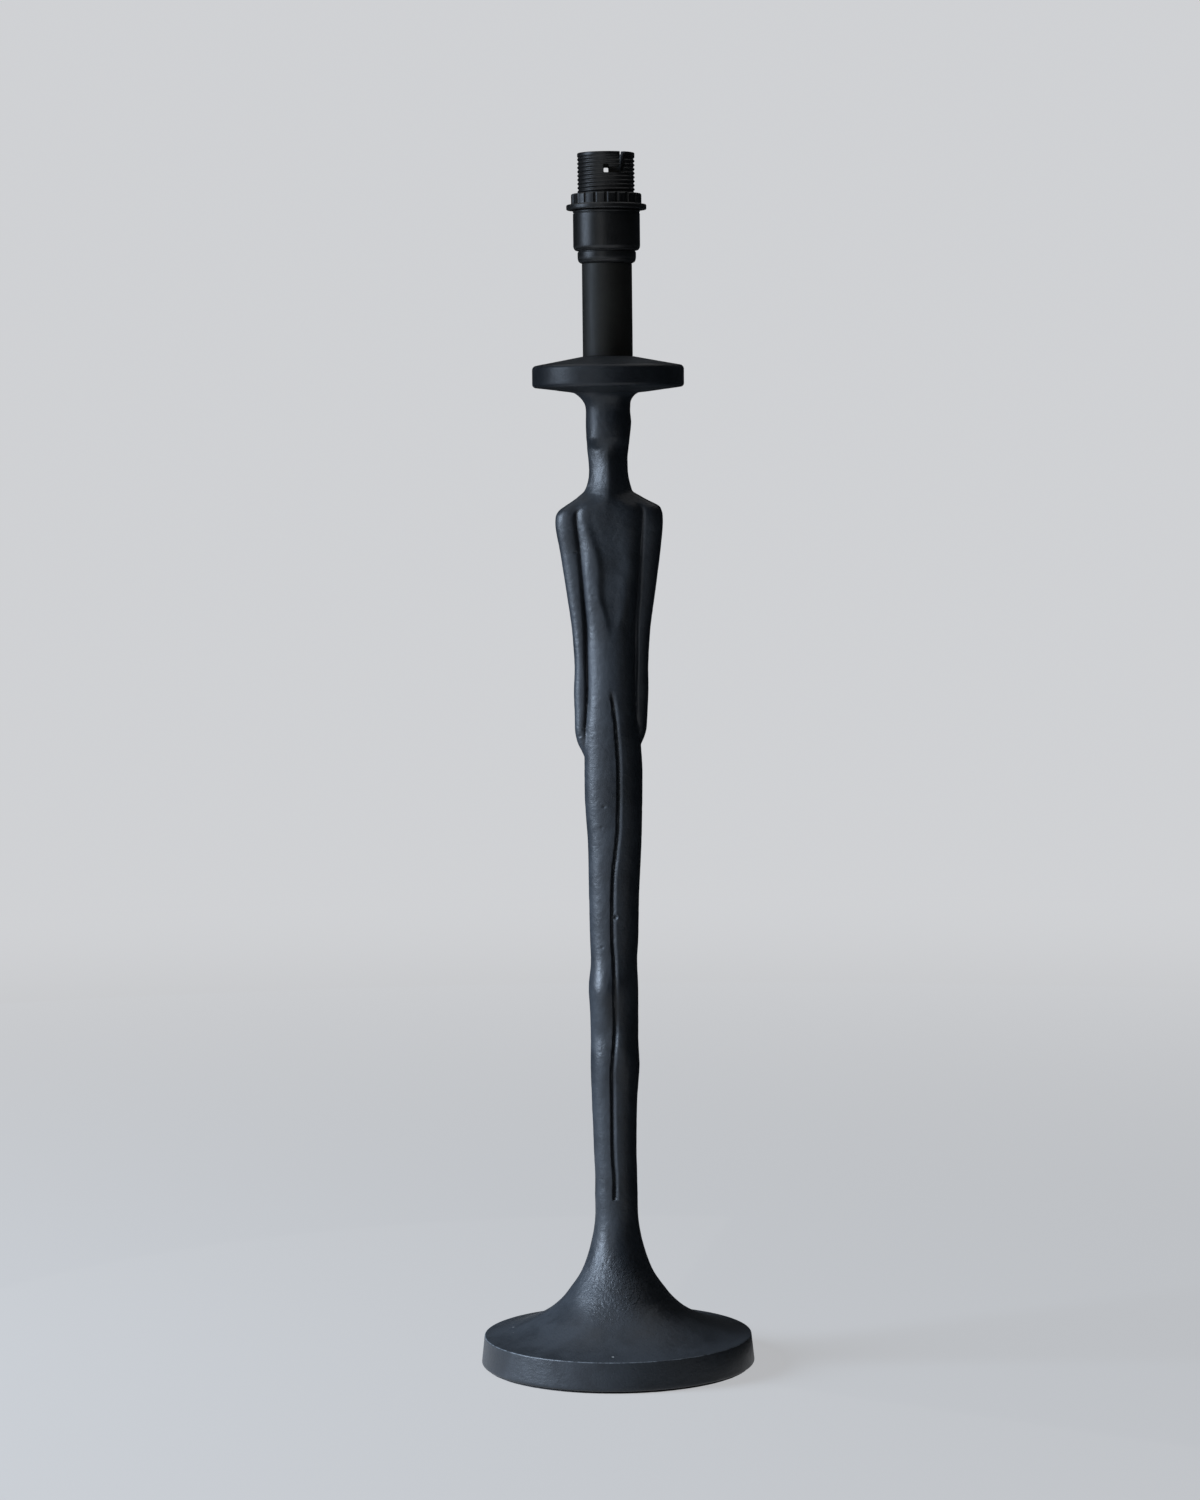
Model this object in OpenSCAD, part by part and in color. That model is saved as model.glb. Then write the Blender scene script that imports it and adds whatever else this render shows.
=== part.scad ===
/* [Foot] */
// Diameter of the foot where it meets the table
foot_d = 138.6; // [126:0.2:170]
// Height of the top of the foot's rim above the table
foot_rim_h = 15.6; // [12.6:0.1:18]
// How much narrower the rim is at its top, measured on the radius
foot_rim_taper = 1.4; // [0.4:0.1:3]
// Thickness of the casting over the hollow of the foot
foot_wall = 5; // [4:0.1:6.5]
// Width of the foot's rim between its outside and the hollow
foot_rim_w = 10.3; // [9:0.1:12]
// Height of the ankles above the table, where the gap between the legs starts
ankle_h = 86.2; // [78:0.2:110]
// Height above the table of the face that the foot nut pulls against
nut_seat_h = 30; // [27:0.5:34]

/* [Figure] */
// Height above the table of the underside of the disc at its middle
figure_h = 490.8; // [430:0.2:560]
// Width across the shoulders
shoulder_w = 53; // [49:0.5:62]
// Depth of the chest from front to back
chest_d = 21.8; // [20.5:0.1:27]
// Depth of the gap between the legs, in front
leg_gap_deep = 1.3; // [0.8:0.1:2.2]

/* [Disc] */
// Diameter of the disc
disc_d = 76; // [64:0.5:100]
// Height of the disc's upright edge
disc_edge_h = 10.4; // [7:0.1:16]
// Rise of the disc's underside from its middle to its edge
disc_under_rise = 4.7; // [3:0.1:6]
// Rise of the disc's top from its edge to the candle tube
disc_top_rise = 4.3; // [2:0.1:8]

/* [Candle tube] */
// Outside diameter of the candle tube
tube_d = 25; // [24:0.1:28]
// Height of the candle tube between the disc and the lampholder
tube_h = 46.2; // [30:0.2:90]
// Wall of the candle tube
tube_wall = 1.2; // [0.8:0.1:1.6]

/* [Threaded rod] */
// Outside diameter of the hollow threaded rod
rod_d = 10; // [9:0.1:10.4]
// Bore of the hollow threaded rod
rod_bore_d = 7.4; // [6.4:0.1:7.8]
// Space left round the rod in the casting
rod_room = 0.5; // [0.3:0.1:0.8]
// Distance across the flats of the rod's nuts
nut_across = 15; // [14:0.1:17]
// Height of the rod's nuts
nut_h = 5; // [3:0.1:6]

/* [Lampholder] */
// Diameter of the lampholder cap's lower ring
cap_low_d = 29.2; // [28:0.1:32]
// Height of the lampholder cap's lower ring
cap_low_h = 6.3; // [6:0.1:10]
// Diameter of the lampholder cap above that ring
cap_d = 33.4; // [32.4:0.1:36]
// Whole height of the lampholder cap
cap_h = 26.3; // [22:0.1:32]
// Outside diameter of the barrel, which carries the shade ring's thread
barrel_d = 28.6; // [28.2:0.1:29.2]
// Inside diameter of the barrel where the bulb's cap goes
socket_d = 22.6; // [22.3:0.1:23.2]
// Depth of the socket from its rim to the contact block
socket_deep = 17; // [15:0.1:20]
// Width of the slots that take the bulb's pins
slot_w = 2.6; // [2.3:0.1:3]
// Diameter of the shade ring
ring_d = 40; // [37:0.5:46]
// Height of the shade ring
ring_h = 8; // [6:0.5:10]

/* [Contacts] */
// Distance between the two contact plungers
contact_gap = 10.4; // [9.6:0.1:11]
// Diameter of a plunger's tip
plunger_tip_d = 4; // [3.4:0.1:4.4]
// Height of a plunger's tip above the contact block
plunger_out = 4; // [3.6:0.1:4.5]
// Travel of a plunger
plunger_travel = 3.5; // [3:0.1:3.5]
// Diameter of the wire that the contact springs are wound from
spring_wire = 0.45; // [0.35:0.01:0.5]

/* [Wiring] */
// Diameter of an insulated wire
wire_d = 2.2; // [1.8:0.1:2.3]
// Diameter of the cord that the inlet bush takes
cord_d = 5.8; // [5:0.1:6]
// Height of the middle of the cord inlet above the table
inlet_h = 7.2; // [7.1:0.1:7.6]
// Distance from the rod to the near face of the terminal block
block_y = 15; // [14:0.5:17]
// Distance between the poles of the terminal block
pole_gap = 9; // [8.5:0.1:9.5]

/* [Underside] */
// Thickness of the felt pad
felt_t = 1.2; // [0.8:0.1:2]
// Thickness of the bottom cover
cover_t = 2; // [1.5:0.1:2.4]

/* [Hidden] */
$fn = 64;

// Clearances
thread_fit = 0.05;
run_fit = 0.08;
seat_fit = 0.1;
cover_fit = 0.2;
ring_rest_gap = 0.3;
cut = 1;

// Radii
foot_r = foot_d / 2;
disc_r = disc_d / 2;
tube_r = tube_d / 2;
tube_bore_r = tube_r - tube_wall;
rod_r = rod_d / 2;
wire_r = wire_d / 2;
barrel_r = barrel_d / 2;
socket_r = socket_d / 2;
nut_r = nut_across / sqrt(3);

// Heights on the way up, each one standing on the piece below it
cover_top = felt_t + cover_t;
washer_t = 2;
tag_t = 0.8;
lock_t = 1.5;
tag_h = nut_seat_h - washer_t - tag_t;
foot_nut_h = tag_h - lock_t - nut_h;
rod_low = foot_nut_h - 2.7;
disc_top = figure_h + disc_under_rise + disc_edge_h + disc_top_rise;
tube_top = disc_top + tube_h;
cap_floor_t = 9.8;
cap_floor = tube_top + cap_floor_t;
rod_top = cap_floor - 1.6;
cap_top = tube_top + cap_h;
barrel_low = cap_floor + 1;
block_deck_t = 13;
block_skirt_h = 15;
block_deck = cap_floor + block_skirt_h;
block_top = block_deck + block_deck_t;
block_rim_top = block_top + plunger_out + 0.5;
barrel_top = block_top + socket_deep;
ring_low = cap_top + ring_rest_gap;

// Scales of the figure. Its stations are written for 404.6 mm from the ankles to the disc,
// 53 mm across the shoulders and a chest 21.8 mm deep
stretch = (figure_h - ankle_h) / 404.6;
girth = shoulder_w / 53;
depth = chest_d / 21.8;

// Stations of the body from the ankles up: height, then reach to the left, right, front and back
BODY = [
    [-24, 10, 10, 10, 10], [0, 10.8, 10.6, 10.4, 10.4], [11, 10.8, 10.6, 10.2, 10.4],
    [26, 11.3, 10.4, 10.2, 10.8], [49, 12, 11, 10.2, 11.6], [66, 12.4, 12.3, 10.4, 12.2],
    [80, 12.2, 11.9, 10.8, 11.8], [95, 12.5, 12, 10.3, 10.8], [107, 13, 12.1, 11.5, 10.4],
    [119, 11.8, 11.7, 10.7, 10.3], [133, 12.1, 12.4, 10.4, 10.7], [156, 12.4, 13.1, 10.6, 11.2],
    [179, 12.6, 14.4, 10.8, 11.8], [202, 13.9, 15.1, 11, 12.6], [220, 13.9, 15.2, 11, 13.2],
    [238, 13.8, 14, 11, 13.2], [260, 12.6, 12.6, 10.6, 11.4], [288, 13, 13, 10.4, 9.8],
    [310, 14.4, 14.4, 10.7, 10.2], [330, 15.8, 15.8, 11, 10.8], [344, 17.2, 17.2, 10.8, 10.8],
    [351, 16.4, 16.4, 10.3, 10], [356, 13.2, 12.2, 9.8, 9.4], [359, 11.5, 11, 9.5, 9.1],
    [364, 10.2, 9.8, 9.2, 9], [369, 10.1, 9.4, 9, 9.2], [374, 10.5, 9.4, 9, 9.8],
    [377.5, 10.9, 9.8, 9.1, 10.8], [381.5, 11.1, 10.3, 11.2, 11.7], [384, 11.3, 10.6, 11.9, 12.4],
    [391, 11.4, 11.3, 12, 13.2], [397, 11.3, 10.9, 11.6, 12.9], [399.5, 11.6, 11.2, 11.8, 12.8],
    [402, 13, 12.2, 12.9, 13.4], [404, 15.6, 14.8, 15.4, 15.6], [406.5, 20, 20, 20, 20]
];
// Stations of the arms: height, reach to the left and right, half width and half depth
ARMS = [
    [216, 11, 11, 1.6, 2], [222, 13.2, 13, 2.2, 3], [226, 15, 14, 2.5, 3.8], [230, 17, 14.9, 2.7, 4.4],
    [233, 17.9, 16.2, 2.8, 4.7], [237, 18.5, 17.4, 2.9, 4.9], [243, 18.6, 18, 3, 5],
    [256, 18.8, 18.7, 3.4, 5.2], [270, 18.4, 18.8, 3.1, 5.4], [288, 19.5, 20, 3.6, 5.6],
    [306, 22, 22.6, 4.4, 6], [326, 24.9, 25.3, 5.3, 6.6], [338, 27, 26.6, 5.6, 7.2],
    [344, 27, 26.7, 5.5, 7.4], [347, 25.6, 26.2, 5.2, 7], [349.5, 22.4, 24.6, 5.2, 6.4],
    [352, 18.6, 19.8, 5, 5.8], [354, 15.9, 16.2, 4.6, 5], [357, 12.4, 11.5, 4, 4], [361, 9, 9, 3, 3]
];
// Gap between the legs in front: height, place and depth as a share of leg_gap_deep
LEG_GAP = [
    [-2, -1.4, 0], [0.5, -1.4, 1], [11, -1.3, 1], [22, -1.9, 1], [53, -2, 1], [65, -2, 1],
    [73, -1.3, 1], [83, -0.5, 1.1], [99, -0.3, 0.9], [118, -0.4, 1], [133, -1.1, 1], [155, -0.8, 1],
    [166, -0.2, 1], [176, 1, 1], [188, 2.2, 1], [215, 2.8, 1], [228, 2.4, 1], [242, 1.4, 1],
    [252, 0.3, 0.8], [257, 0, 0]
];
// Folds between the arms and the body: height, place and depth
ARM_FOLD = [
    [236, 13.4, 0], [240, 12.9, 0.5], [246, 12, 0.6], [258, 11.8, 0.7], [273, 12.3, 0.7],
    [288, 12.3, 0.8], [303, 13.2, 0.8], [319, 14.2, 0.8], [331, 15, 0.6], [343, 16.8, 0.4], [349, 17.4, 0]
];
// Hollow of the chest: height, place, half width and depth
CHEST = [
    [284, 1.3, 1.5, 0], [292, 1.6, 3.4, 0.5], [305, 2, 6.9, 1], [322, 3, 8.2, 1.1], [340, 0.5, 11.4, 0.9],
    [348, 0, 13.5, 0.35], [354, 0, 13.5, 0]
];

// Swellings and hollows of the front: height, place, how far out, half height and half width
SWELLS = [
    [100, -6.3, 2.4, 9.5, 4.2], [83, -6.5, -0.9, 4.5, 5], [67, -6.5, 0.7, 7, 4.5], [74, 5.5, 0.4, 12, 3],
    [76, 3.5, 0.7, 7, 3], [103, 4, 0.5, 9, 3.5], [303, 5, 0.4, 9, 3.2], [352, -1.5, 0.5, 4, 2.6]
];

// Number of points round the figure, and the heights of its rings
ring_points = 48;
RING_HEIGHTS = concat(
    [-24, -16, -9, -2, 0.5],
    [for (h = [8:7.5:211]) h],
    [for (h = [216:2.6:250]) h],
    [for (h = [253:5.5:335.5]) h],
    [for (h = [338:1.75:361]) h],
    [366, 371, 375, 377.5, 379.5, 381.5, 384, 388, 394],
    [for (h = [397:1.6:406.6]) h]
);

// Flare of the foot from the rim to the ankle: radius, then height above the rim
FLARE = [
    [67.3, 0], [62, 0.9], [56, 2.3], [50, 4.3], [44, 6.9], [38, 10.1], [33.2, 13.4], [28.2, 18],
    [24.7, 22.4], [18.6, 31.3], [14.9, 40.5], [12.4, 49.7], [11, 57.5], [10.2, 64], [9.5, 70.6]
];

// Row of a table that a height falls in
function row(t, h, i = 0) = i >= len(t) - 2 || h < t[i + 1][0] ? i : row(t, h, i + 1);

// Steepness of a table's column at one row
function steep(t, i, c) =
    let (a = max(i - 1, 0), b = min(i + 1, len(t) - 1))
    (t[b][c] - t[a][c]) / (t[b][0] - t[a][0]);

// Value of a table's column at a height, on a smooth curve through its rows
function at(t, h, c) =
    let (i = row(t, h), w = t[i + 1][0] - t[i][0], u = min(max((h - t[i][0]) / w, 0), 1))
    (2 * u ^ 3 - 3 * u ^ 2 + 1) * t[i][c]
    + (u ^ 3 - 2 * u ^ 2 + u) * w * steep(t, i, c)
    + (3 * u ^ 2 - 2 * u ^ 3) * t[i + 1][c]
    + (u ^ 3 - u ^ 2) * w * steep(t, i + 1, c);

// True where a height lies within a table
function within(t, h) = h >= t[0][0] && h <= t[len(t) - 1][0];

// Points of a smooth curve through a list of points
function curve(p, steps) = [
    for (i = [0:len(p) - 2])
        for (k = [0:steps - 1])
            let (a = p[max(i - 1, 0)], b = p[i], c = p[i + 1], d = p[min(i + 2, len(p) - 1)], u = k / steps)
            b + (c - a) * u / 2 + (2 * a - 5 * b + 4 * c - d) * u ^ 2 / 2
            + (3 * b - a - 3 * c + d) * u ^ 3 / 2,
    p[len(p) - 1]
];

// Points of an arc, for rounding a corner of an outline
function arc(x, y, r, from, to, steps = 5) = [
    for (i = [0:steps])
        let (a = from + (to - from) * i / steps)
        [x + r * cos(a), y + r * sin(a)]
];

// Soft step from 0 to 1
function ease(u) = let (v = min(max(u, 0), 1)) v * v * (3 - 2 * v);

// Rounded furrow of depth 1, seen along x
function furrow(x, half_w) = exp(-x * x / (2 * half_w * half_w));

// Lopsided notch of depth 1, seen along x
function notch(x) = let (u = abs(x) / (x < 0 ? 0.9 : 2.9)) u >= 1 ? 0 : (1 - u) ^ 1.3;

// Height of a rounded lobe over the place x
function lobe(x, middle, half_w, high, power) =
    let (u = abs((x - middle) / half_w))
    u >= 1 ? 0 : high * (1 - u ^ power) ^ (1 / power);

// Reach of the figure to one side, arms and body together
function reach(h, c) = max(at(BODY, h, c), within(ARMS, h) ? at(ARMS, h, c) : 0);

// How square the body is at a height: flat at the chest, narrow at the neck
function squareness(h) =
    2.2 + 0.9 * ease((h - 285) / 35) * ease((354 - h) / 8)
    - 0.75 * ease((h - 348) / 8) * ease((383 - h) / 5);

// Depth of the body, arms and what joins them at a place, to the front or the back
function mass(h, x, c) =
    let (
        left = at(BODY, h, 1),
        right = at(BODY, h, 2),
        body = lobe(x, (right - left) / 2, (right + left) / 2, at(BODY, h, c), squareness(h)),
        arm = !within(ARMS, h) ? 0 :
            let (wide = 2 * at(ARMS, h, 3), crest = at(ARMS, h, x < 0 ? 1 : 2) - 0.76 * wide)
            lobe(abs(x), crest, (abs(x) < crest ? 0.24 : 0.76) * wide, at(ARMS, h, 4), 2.2),
        slab = !within(ARMS, h) ? 0 :
            let (a = reach(h, 1), b = reach(h, 2))
            lobe(x, (b - a) / 2, (b + a) / 2, 0.95 * at(ARMS, h, 4), 3.5)
    )
    (body ^ 6 + arm ^ 6 + slab ^ 6) ^ (1 / 6);

// Depth of the folds between the arms and the body
function fold(h, x) = !within(ARM_FOLD, h) ? 0 :
    at(ARM_FOLD, h, 2) * furrow(abs(x) - at(ARM_FOLD, h, 1), 1 + 0.8 * ease((h - 315) / 20));

// Height of the swellings at a place
function swell(h, x, i = 0) = i >= len(SWELLS) ? 0 : swell(h, x, i + 1)
    + SWELLS[i][2] * furrow(h - SWELLS[i][0], SWELLS[i][3]) * furrow(x - SWELLS[i][1], SWELLS[i][4]);

// Depth of all that is hollowed out of the front
function front_relief(h, x) =
    (within(LEG_GAP, h) ? leg_gap_deep / depth * at(LEG_GAP, h, 2) * notch(x - at(LEG_GAP, h, 1)) : 0)
    + fold(h, x)
    + (within(CHEST, h)
        ? let (u = (x - at(CHEST, h, 1)) / at(CHEST, h, 2))
            at(CHEST, h, 3) * (1 - ease(u < 0 ? (-u - 0.6) * 2.5 : 0.95 * u)) : 0)
    - swell(h, x);

// Depth of all that is hollowed out of the back
function back_relief(h, x) =
    1.7 * ease((h - 6) / 14) * ease((232 - h) / 10) * furrow(x, 1.15)
    + fold(h, x)
    + 1.1 * ease((h - 250) / 30) * ease((342 - h) / 16) * furrow(x, 2.2);

// Angle round a ring, drawn closer to the leg gap below and to the arm folds above
function lap(i, h) =
    let (a = 360 * i / ring_points, legs = ease((264 - h) / 28), torso = (1 - legs) * ease((352 - h) / 6))
    a + 14 * legs * sin(2 * a) + 7 * torso * sin(4 * a);

// Point i of the figure's ring at a height
function ring_point(h, i) =
    let (
        a = lap(i, h),
        left = reach(h, 1),
        right = reach(h, 2),
        x = (right - left) / 2 + (right + left) / 2 * cos(a),
        side = sin(a),
        behind = max(mass(h, x, 4) - back_relief(h, x), 0),
        before = max(mass(h, x, 3) - front_relief(h, x), 0),
        y = side > 0 ? behind : -before
    )
    [x * girth, abs(side) < 0.0001 ? 0 : y * depth, ankle_h + h * stretch];

// Triangles that join rings of points into a closed skin with flat ends
function skin(rings, n) = concat(
    [for (i = [1:n - 2]) [0, i, i + 1]],
    [for (j = [0:rings - 2], i = [0:n - 1]) [j * n + i, (j + 1) * n + i, (j + 1) * n + (i + 1) % n]],
    [for (j = [0:rings - 2], i = [0:n - 1]) [j * n + i, (j + 1) * n + (i + 1) % n, j * n + (i + 1) % n]],
    [for (i = [1:n - 2]) [(rings - 1) * n, (rings - 1) * n + i + 1, (rings - 1) * n + i]]
);

// Direction of a path at one of its points
function heading(p, i) =
    let (d = p[min(i + 1, len(p) - 1)] - p[max(i - 1, 0)])
    d / norm(d);

// Round tube swept along a path, which never runs along x
module sweep(path, r, sides) {
    points = [
        for (i = [0:len(path) - 1])
            let (t = heading(path, i), across = cross(t, [1, 0, 0]), u = across / norm(across))
            let (v = cross(t, u))
            for (k = [0:sides - 1])
                let (a = 360 * k / sides)
                path[i] + r * (cos(a) * u + sin(a) * v)
    ];
    polyhedron(points, skin(len(path), sides));
}

// Coil spring standing on the plane z = 0
module coil_spring(r, wire, high, turns, sides = 6, steps = 8) {
    last = turns * steps;
    points = [
        for (i = [0:last])
            let (a = 360 * i / steps, z = wire / 2 + (high - wire) * i / last, out = [cos(a), sin(a), 0])
            for (k = [0:sides - 1])
                let (b = 360 * k / sides)
                (r + wire / 2 * cos(b)) * out + [0, 0, z - wire / 2 * sin(b)]
    ];
    polyhedron(points, skin(last + 1, sides));
}

// Flat ring
module washer(outer_r, bore_r, thick) {
    difference() {
        cylinder(r = outer_r, h = thick);
        translate([0, 0, -cut]) cylinder(r = bore_r, h = thick + 2 * cut);
    }
}

// Hexagon nut with chamfered corners
module hex_nut() {
    chamfer = 0.6;
    difference() {
        intersection() {
            cylinder(r = nut_r, h = nut_h, $fn = 6);
            rotate_extrude()
                polygon([
                    [0, 0], [nut_r - chamfer, 0], [nut_r + 0.1, chamfer],
                    [nut_r + 0.1, nut_h - chamfer], [nut_r - chamfer, nut_h], [0, nut_h]
                ]);
        }
        translate([0, 0, -cut]) cylinder(r = rod_r + thread_fit, h = nut_h + 2 * cut);
    }
}

// Copies round the foot for the cover's screws, clear of the inlet
module at_cover_screws() {
    for (a = [45:90:315]) rotate([0, 0, a]) translate([foot_r - foot_rim_w - 3.5, 0, 0]) children();
}

// Outline of the flare at this foot's own size
neck_r = 9.5 * min(girth, depth);
flare = [
    for (p = curve(FLARE, 3))
        let (top_r = foot_r - foot_rim_taper - 0.6, grow = (top_r - neck_r) / (67.3 - 9.5))
        [neck_r + (p[0] - 9.5) * grow, foot_rim_h + p[1] * (ankle_h - foot_rim_h) / 70.6]
];

// The same outline moved inwards by the casting's thickness
inner_flare = [
    for (i = [0:len(flare) - 1])
        let (t = heading(flare, i))
        flare[i] - foot_wall * [-t[1], t[0]] * (t[0] < 0 ? -1 : 1)
];

module foot_body() {
    low_round = 1.1;
    top_round = 0.6;
    top_r = foot_r - foot_rim_taper;
    rotate_extrude($fn = 96)
        polygon(concat(
            [[0, felt_t]],
            arc(foot_r - low_round, felt_t + low_round, low_round, -90, 0),
            arc(top_r - top_round, foot_rim_h - top_round, top_round, 0, 80),
            [for (i = [1:len(flare) - 1]) flare[i]],
            [[0, ankle_h]]
        ));
}

module figure_body() {
    points = [for (h = RING_HEIGHTS) for (i = [0:ring_points - 1]) ring_point(h, i)];
    polyhedron(points, skin(len(RING_HEIGHTS), ring_points));
}

module disc_body() {
    edge_round = 2.2;
    land_r = tube_r + 0.6;
    edge_low = figure_h + disc_under_rise;
    edge_top = edge_low + disc_edge_h;
    rotate_extrude($fn = 96)
        polygon(concat(
            [[0, figure_h], [17, figure_h]],
            arc(disc_r - edge_round, edge_low + edge_round, edge_round, -75, 0),
            arc(disc_r - edge_round, edge_top - edge_round, edge_round, 0, 75),
            [[land_r, disc_top], [0, disc_top]]
        ));
}

// Hollow under the foot, less the pillars that take the cover's screws
module foot_hollow() {
    pillar_r = 4;
    difference() {
        intersection() {
            rotate_extrude($fn = 96)
                polygon(concat(
                    [[0, 0], [inner_flare[0][0], 0]],
                    [for (p = inner_flare) if (p[0] > rod_r + 2) p],
                    [[0, nut_seat_h + 20]]
                ));
            cylinder(r = foot_r - foot_rim_w, h = nut_seat_h, $fn = 96);
        }
        at_cover_screws() cylinder(r = pillar_r, h = nut_seat_h);
    }
}

inlet_out = foot_r - 3;
bush_flange_t = 2;
bush_flange_r = cord_d / 2 + 1.9;
bush_r = cord_d / 2 + 0.8;
cover_screw_r = 1.4;
cover_screw_l = 8;

module figure_casting() {
    color([0.12, 0.13, 0.14])
        difference() {
            union() {
                foot_body();
                figure_body();
                disc_body();
            }
            translate([0, 0, -cut]) cylinder(r = rod_r + rod_room, h = disc_top + 2 * cut);
            foot_hollow();
            cylinder(r = foot_r - foot_rim_w + 3.5, h = cover_top, $fn = 96);
            translate([0, inlet_out, inlet_h])
                rotate([-90, 0, 0]) cylinder(r = bush_flange_r + seat_fit, h = foot_r - inlet_out + cut);
            translate([0, foot_r - foot_rim_w - 9, inlet_h])
                rotate([-90, 0, 0]) cylinder(r = bush_r + seat_fit, h = foot_rim_w + 9);
            at_cover_screws() cylinder(r = cover_screw_r + thread_fit, h = felt_t + cover_screw_l + 0.6);
        }
}

module threaded_rod() {
    color([0.72, 0.7, 0.62])
        translate([0, 0, rod_low]) washer(rod_r, rod_bore_d / 2, rod_top - rod_low);
}

module foot_washer() {
    color([0.7, 0.7, 0.7])
        translate([0, 0, nut_seat_h - washer_t]) washer(12, rod_r + seat_fit, washer_t);
}

// Ring tag under the foot nut, with a tail that is crimped on the earth wire
module earth_tag() {
    tail_w = 5;
    tail_l = 13.5;
    color([0.8, 0.78, 0.7])
        translate([0, 0, tag_h])
            difference() {
                union() {
                    cylinder(r = 8, h = tag_t);
                    translate([-tail_w / 2, 0, 0]) cube([tail_w, tail_l, tag_t]);
                }
                translate([0, 0, -cut]) cylinder(r = rod_r + seat_fit, h = tag_t + 2 * cut);
            }
}

// Toothed lock washer, with its teeth as notches round the rim
module foot_lock_washer() {
    outer_r = 8.6;
    color([0.65, 0.65, 0.66])
        translate([0, 0, tag_h - lock_t])
            difference() {
                washer(outer_r, rod_r + seat_fit, lock_t);
                for (a = [0:30:330])
                    rotate([0, 0, a]) translate([outer_r - 1.1, -0.4, -cut]) cube([3, 0.8, lock_t + 2 * cut]);
            }
}

module foot_nut() {
    color([0.72, 0.7, 0.62]) translate([0, 0, foot_nut_h]) hex_nut();
}

// Washer on the disc that also centres the candle tube
module upper_washer() {
    color([0.7, 0.7, 0.7])
        translate([0, 0, disc_top]) washer(tube_bore_r - seat_fit, rod_r + seat_fit, washer_t);
}

module upper_nut() {
    color([0.72, 0.7, 0.62]) translate([0, 0, disc_top + washer_t]) hex_nut();
}

module candle_tube() {
    color([0.1, 0.1, 0.1]) translate([0, 0, disc_top]) washer(tube_r, tube_bore_r, tube_h);
}

// Bush that centres the top of the candle tube on the rod
module tube_bush() {
    bush_h = 5;
    color([0.2, 0.2, 0.2])
        translate([0, 0, tube_top - bush_h]) washer(tube_bore_r - seat_fit, rod_r + seat_fit, bush_h);
}

grub_h = tube_top + cap_low_h * 0.55;
grub_r = 1.5;
grub_l = 5;

// Cap that screws on the rod, with the barrel's thread inside
module lampholder_cap() {
    low_r = cap_low_d / 2;
    high_r = cap_d / 2;
    bevel = 2;
    lip = 0.6;
    color([0.09, 0.09, 0.09])
        difference() {
            rotate_extrude()
                polygon([
                    [rod_r + thread_fit, tube_top],
                    [low_r - bevel, tube_top],
                    [low_r, tube_top + bevel],
                    [low_r, tube_top + cap_low_h],
                    [high_r - 0.8, tube_top + cap_low_h + 0.4],
                    [high_r, tube_top + cap_low_h + 1.6],
                    [high_r, cap_top - lip],
                    [high_r - lip, cap_top],
                    [barrel_r + thread_fit, cap_top],
                    [barrel_r + thread_fit, cap_floor],
                    [rod_r + thread_fit, cap_floor]
                ]);
            translate([0, 0, grub_h]) rotate([-90, 0, 0]) cylinder(r = grub_r, h = low_r + cut, $fn = 32);
        }
}

// Grub screw that stops the lampholder turning on the rod
module cap_grub_screw() {
    color([0.6, 0.6, 0.62])
        translate([0, rod_r + thread_fit, grub_h])
            rotate([-90, 0, 0])
                difference() {
                    cylinder(r = grub_r - thread_fit, h = grub_l, $fn = 32);
                    translate([-grub_r, -0.25, grub_l - 1]) cube([2 * grub_r, 0.5, 2]);
                }
}

// One bayonet slot: down from the rim, round, and up into its hook
module pin_slot() {
    turn = 35;
    straight_deep = 10.5;
    hook_h = 1.6;
    low = barrel_top - straight_deep;
    rotate([0, 0, turn])
        translate([socket_r - cut, -slot_w / 2, low]) cube([barrel_r, slot_w, straight_deep + cut]);
    rotate([0, 0, -1])
        rotate_extrude(angle = turn + 2)
            translate([socket_r - cut, low]) square([barrel_r, slot_w]);
    translate([socket_r - cut, -slot_w / 2, low]) cube([barrel_r, slot_w, slot_w + hook_h]);
}

// Barrel: socket for the bulb above, room for the contact block below
module lampholder_barrel() {
    rim = 0.5;
    block_r = barrel_r - 1.7;
    color([0.09, 0.09, 0.09])
        difference() {
            rotate_extrude()
                polygon([
                    [block_r, barrel_low],
                    [barrel_r, barrel_low],
                    [barrel_r, barrel_top - rim],
                    [barrel_r - rim, barrel_top],
                    [socket_r + rim, barrel_top],
                    [socket_r, barrel_top - rim],
                    [socket_r, block_rim_top],
                    [block_r, block_rim_top]
                ]);
            for (a = [90, 270]) rotate([0, 0, a]) pin_slot();
        }
}

// Ring that clamps a shade's fitter, with finger grips round its collar
module shade_ring() {
    flange_t = 2.6;
    collar_r = ring_d / 2 - 2.4;
    grips = 20;
    color([0.09, 0.09, 0.09])
        translate([0, 0, ring_low])
            difference() {
                rotate_extrude()
                    polygon([
                        [barrel_r + run_fit, 0],
                        [ring_d / 2 - 0.4, 0],
                        [ring_d / 2, 0.4],
                        [ring_d / 2, flange_t - 0.4],
                        [ring_d / 2 - 0.4, flange_t],
                        [collar_r, flange_t],
                        [collar_r, ring_h - 0.5],
                        [collar_r - 0.5, ring_h],
                        [barrel_r + run_fit, ring_h]
                    ]);
                for (i = [0:grips - 1])
                    rotate([0, 0, 360 * i / grips])
                        translate([collar_r + 0.5, 0, flange_t + 0.4]) cylinder(r = 1.2, h = ring_h, $fn = 16);
            }
}

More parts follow.
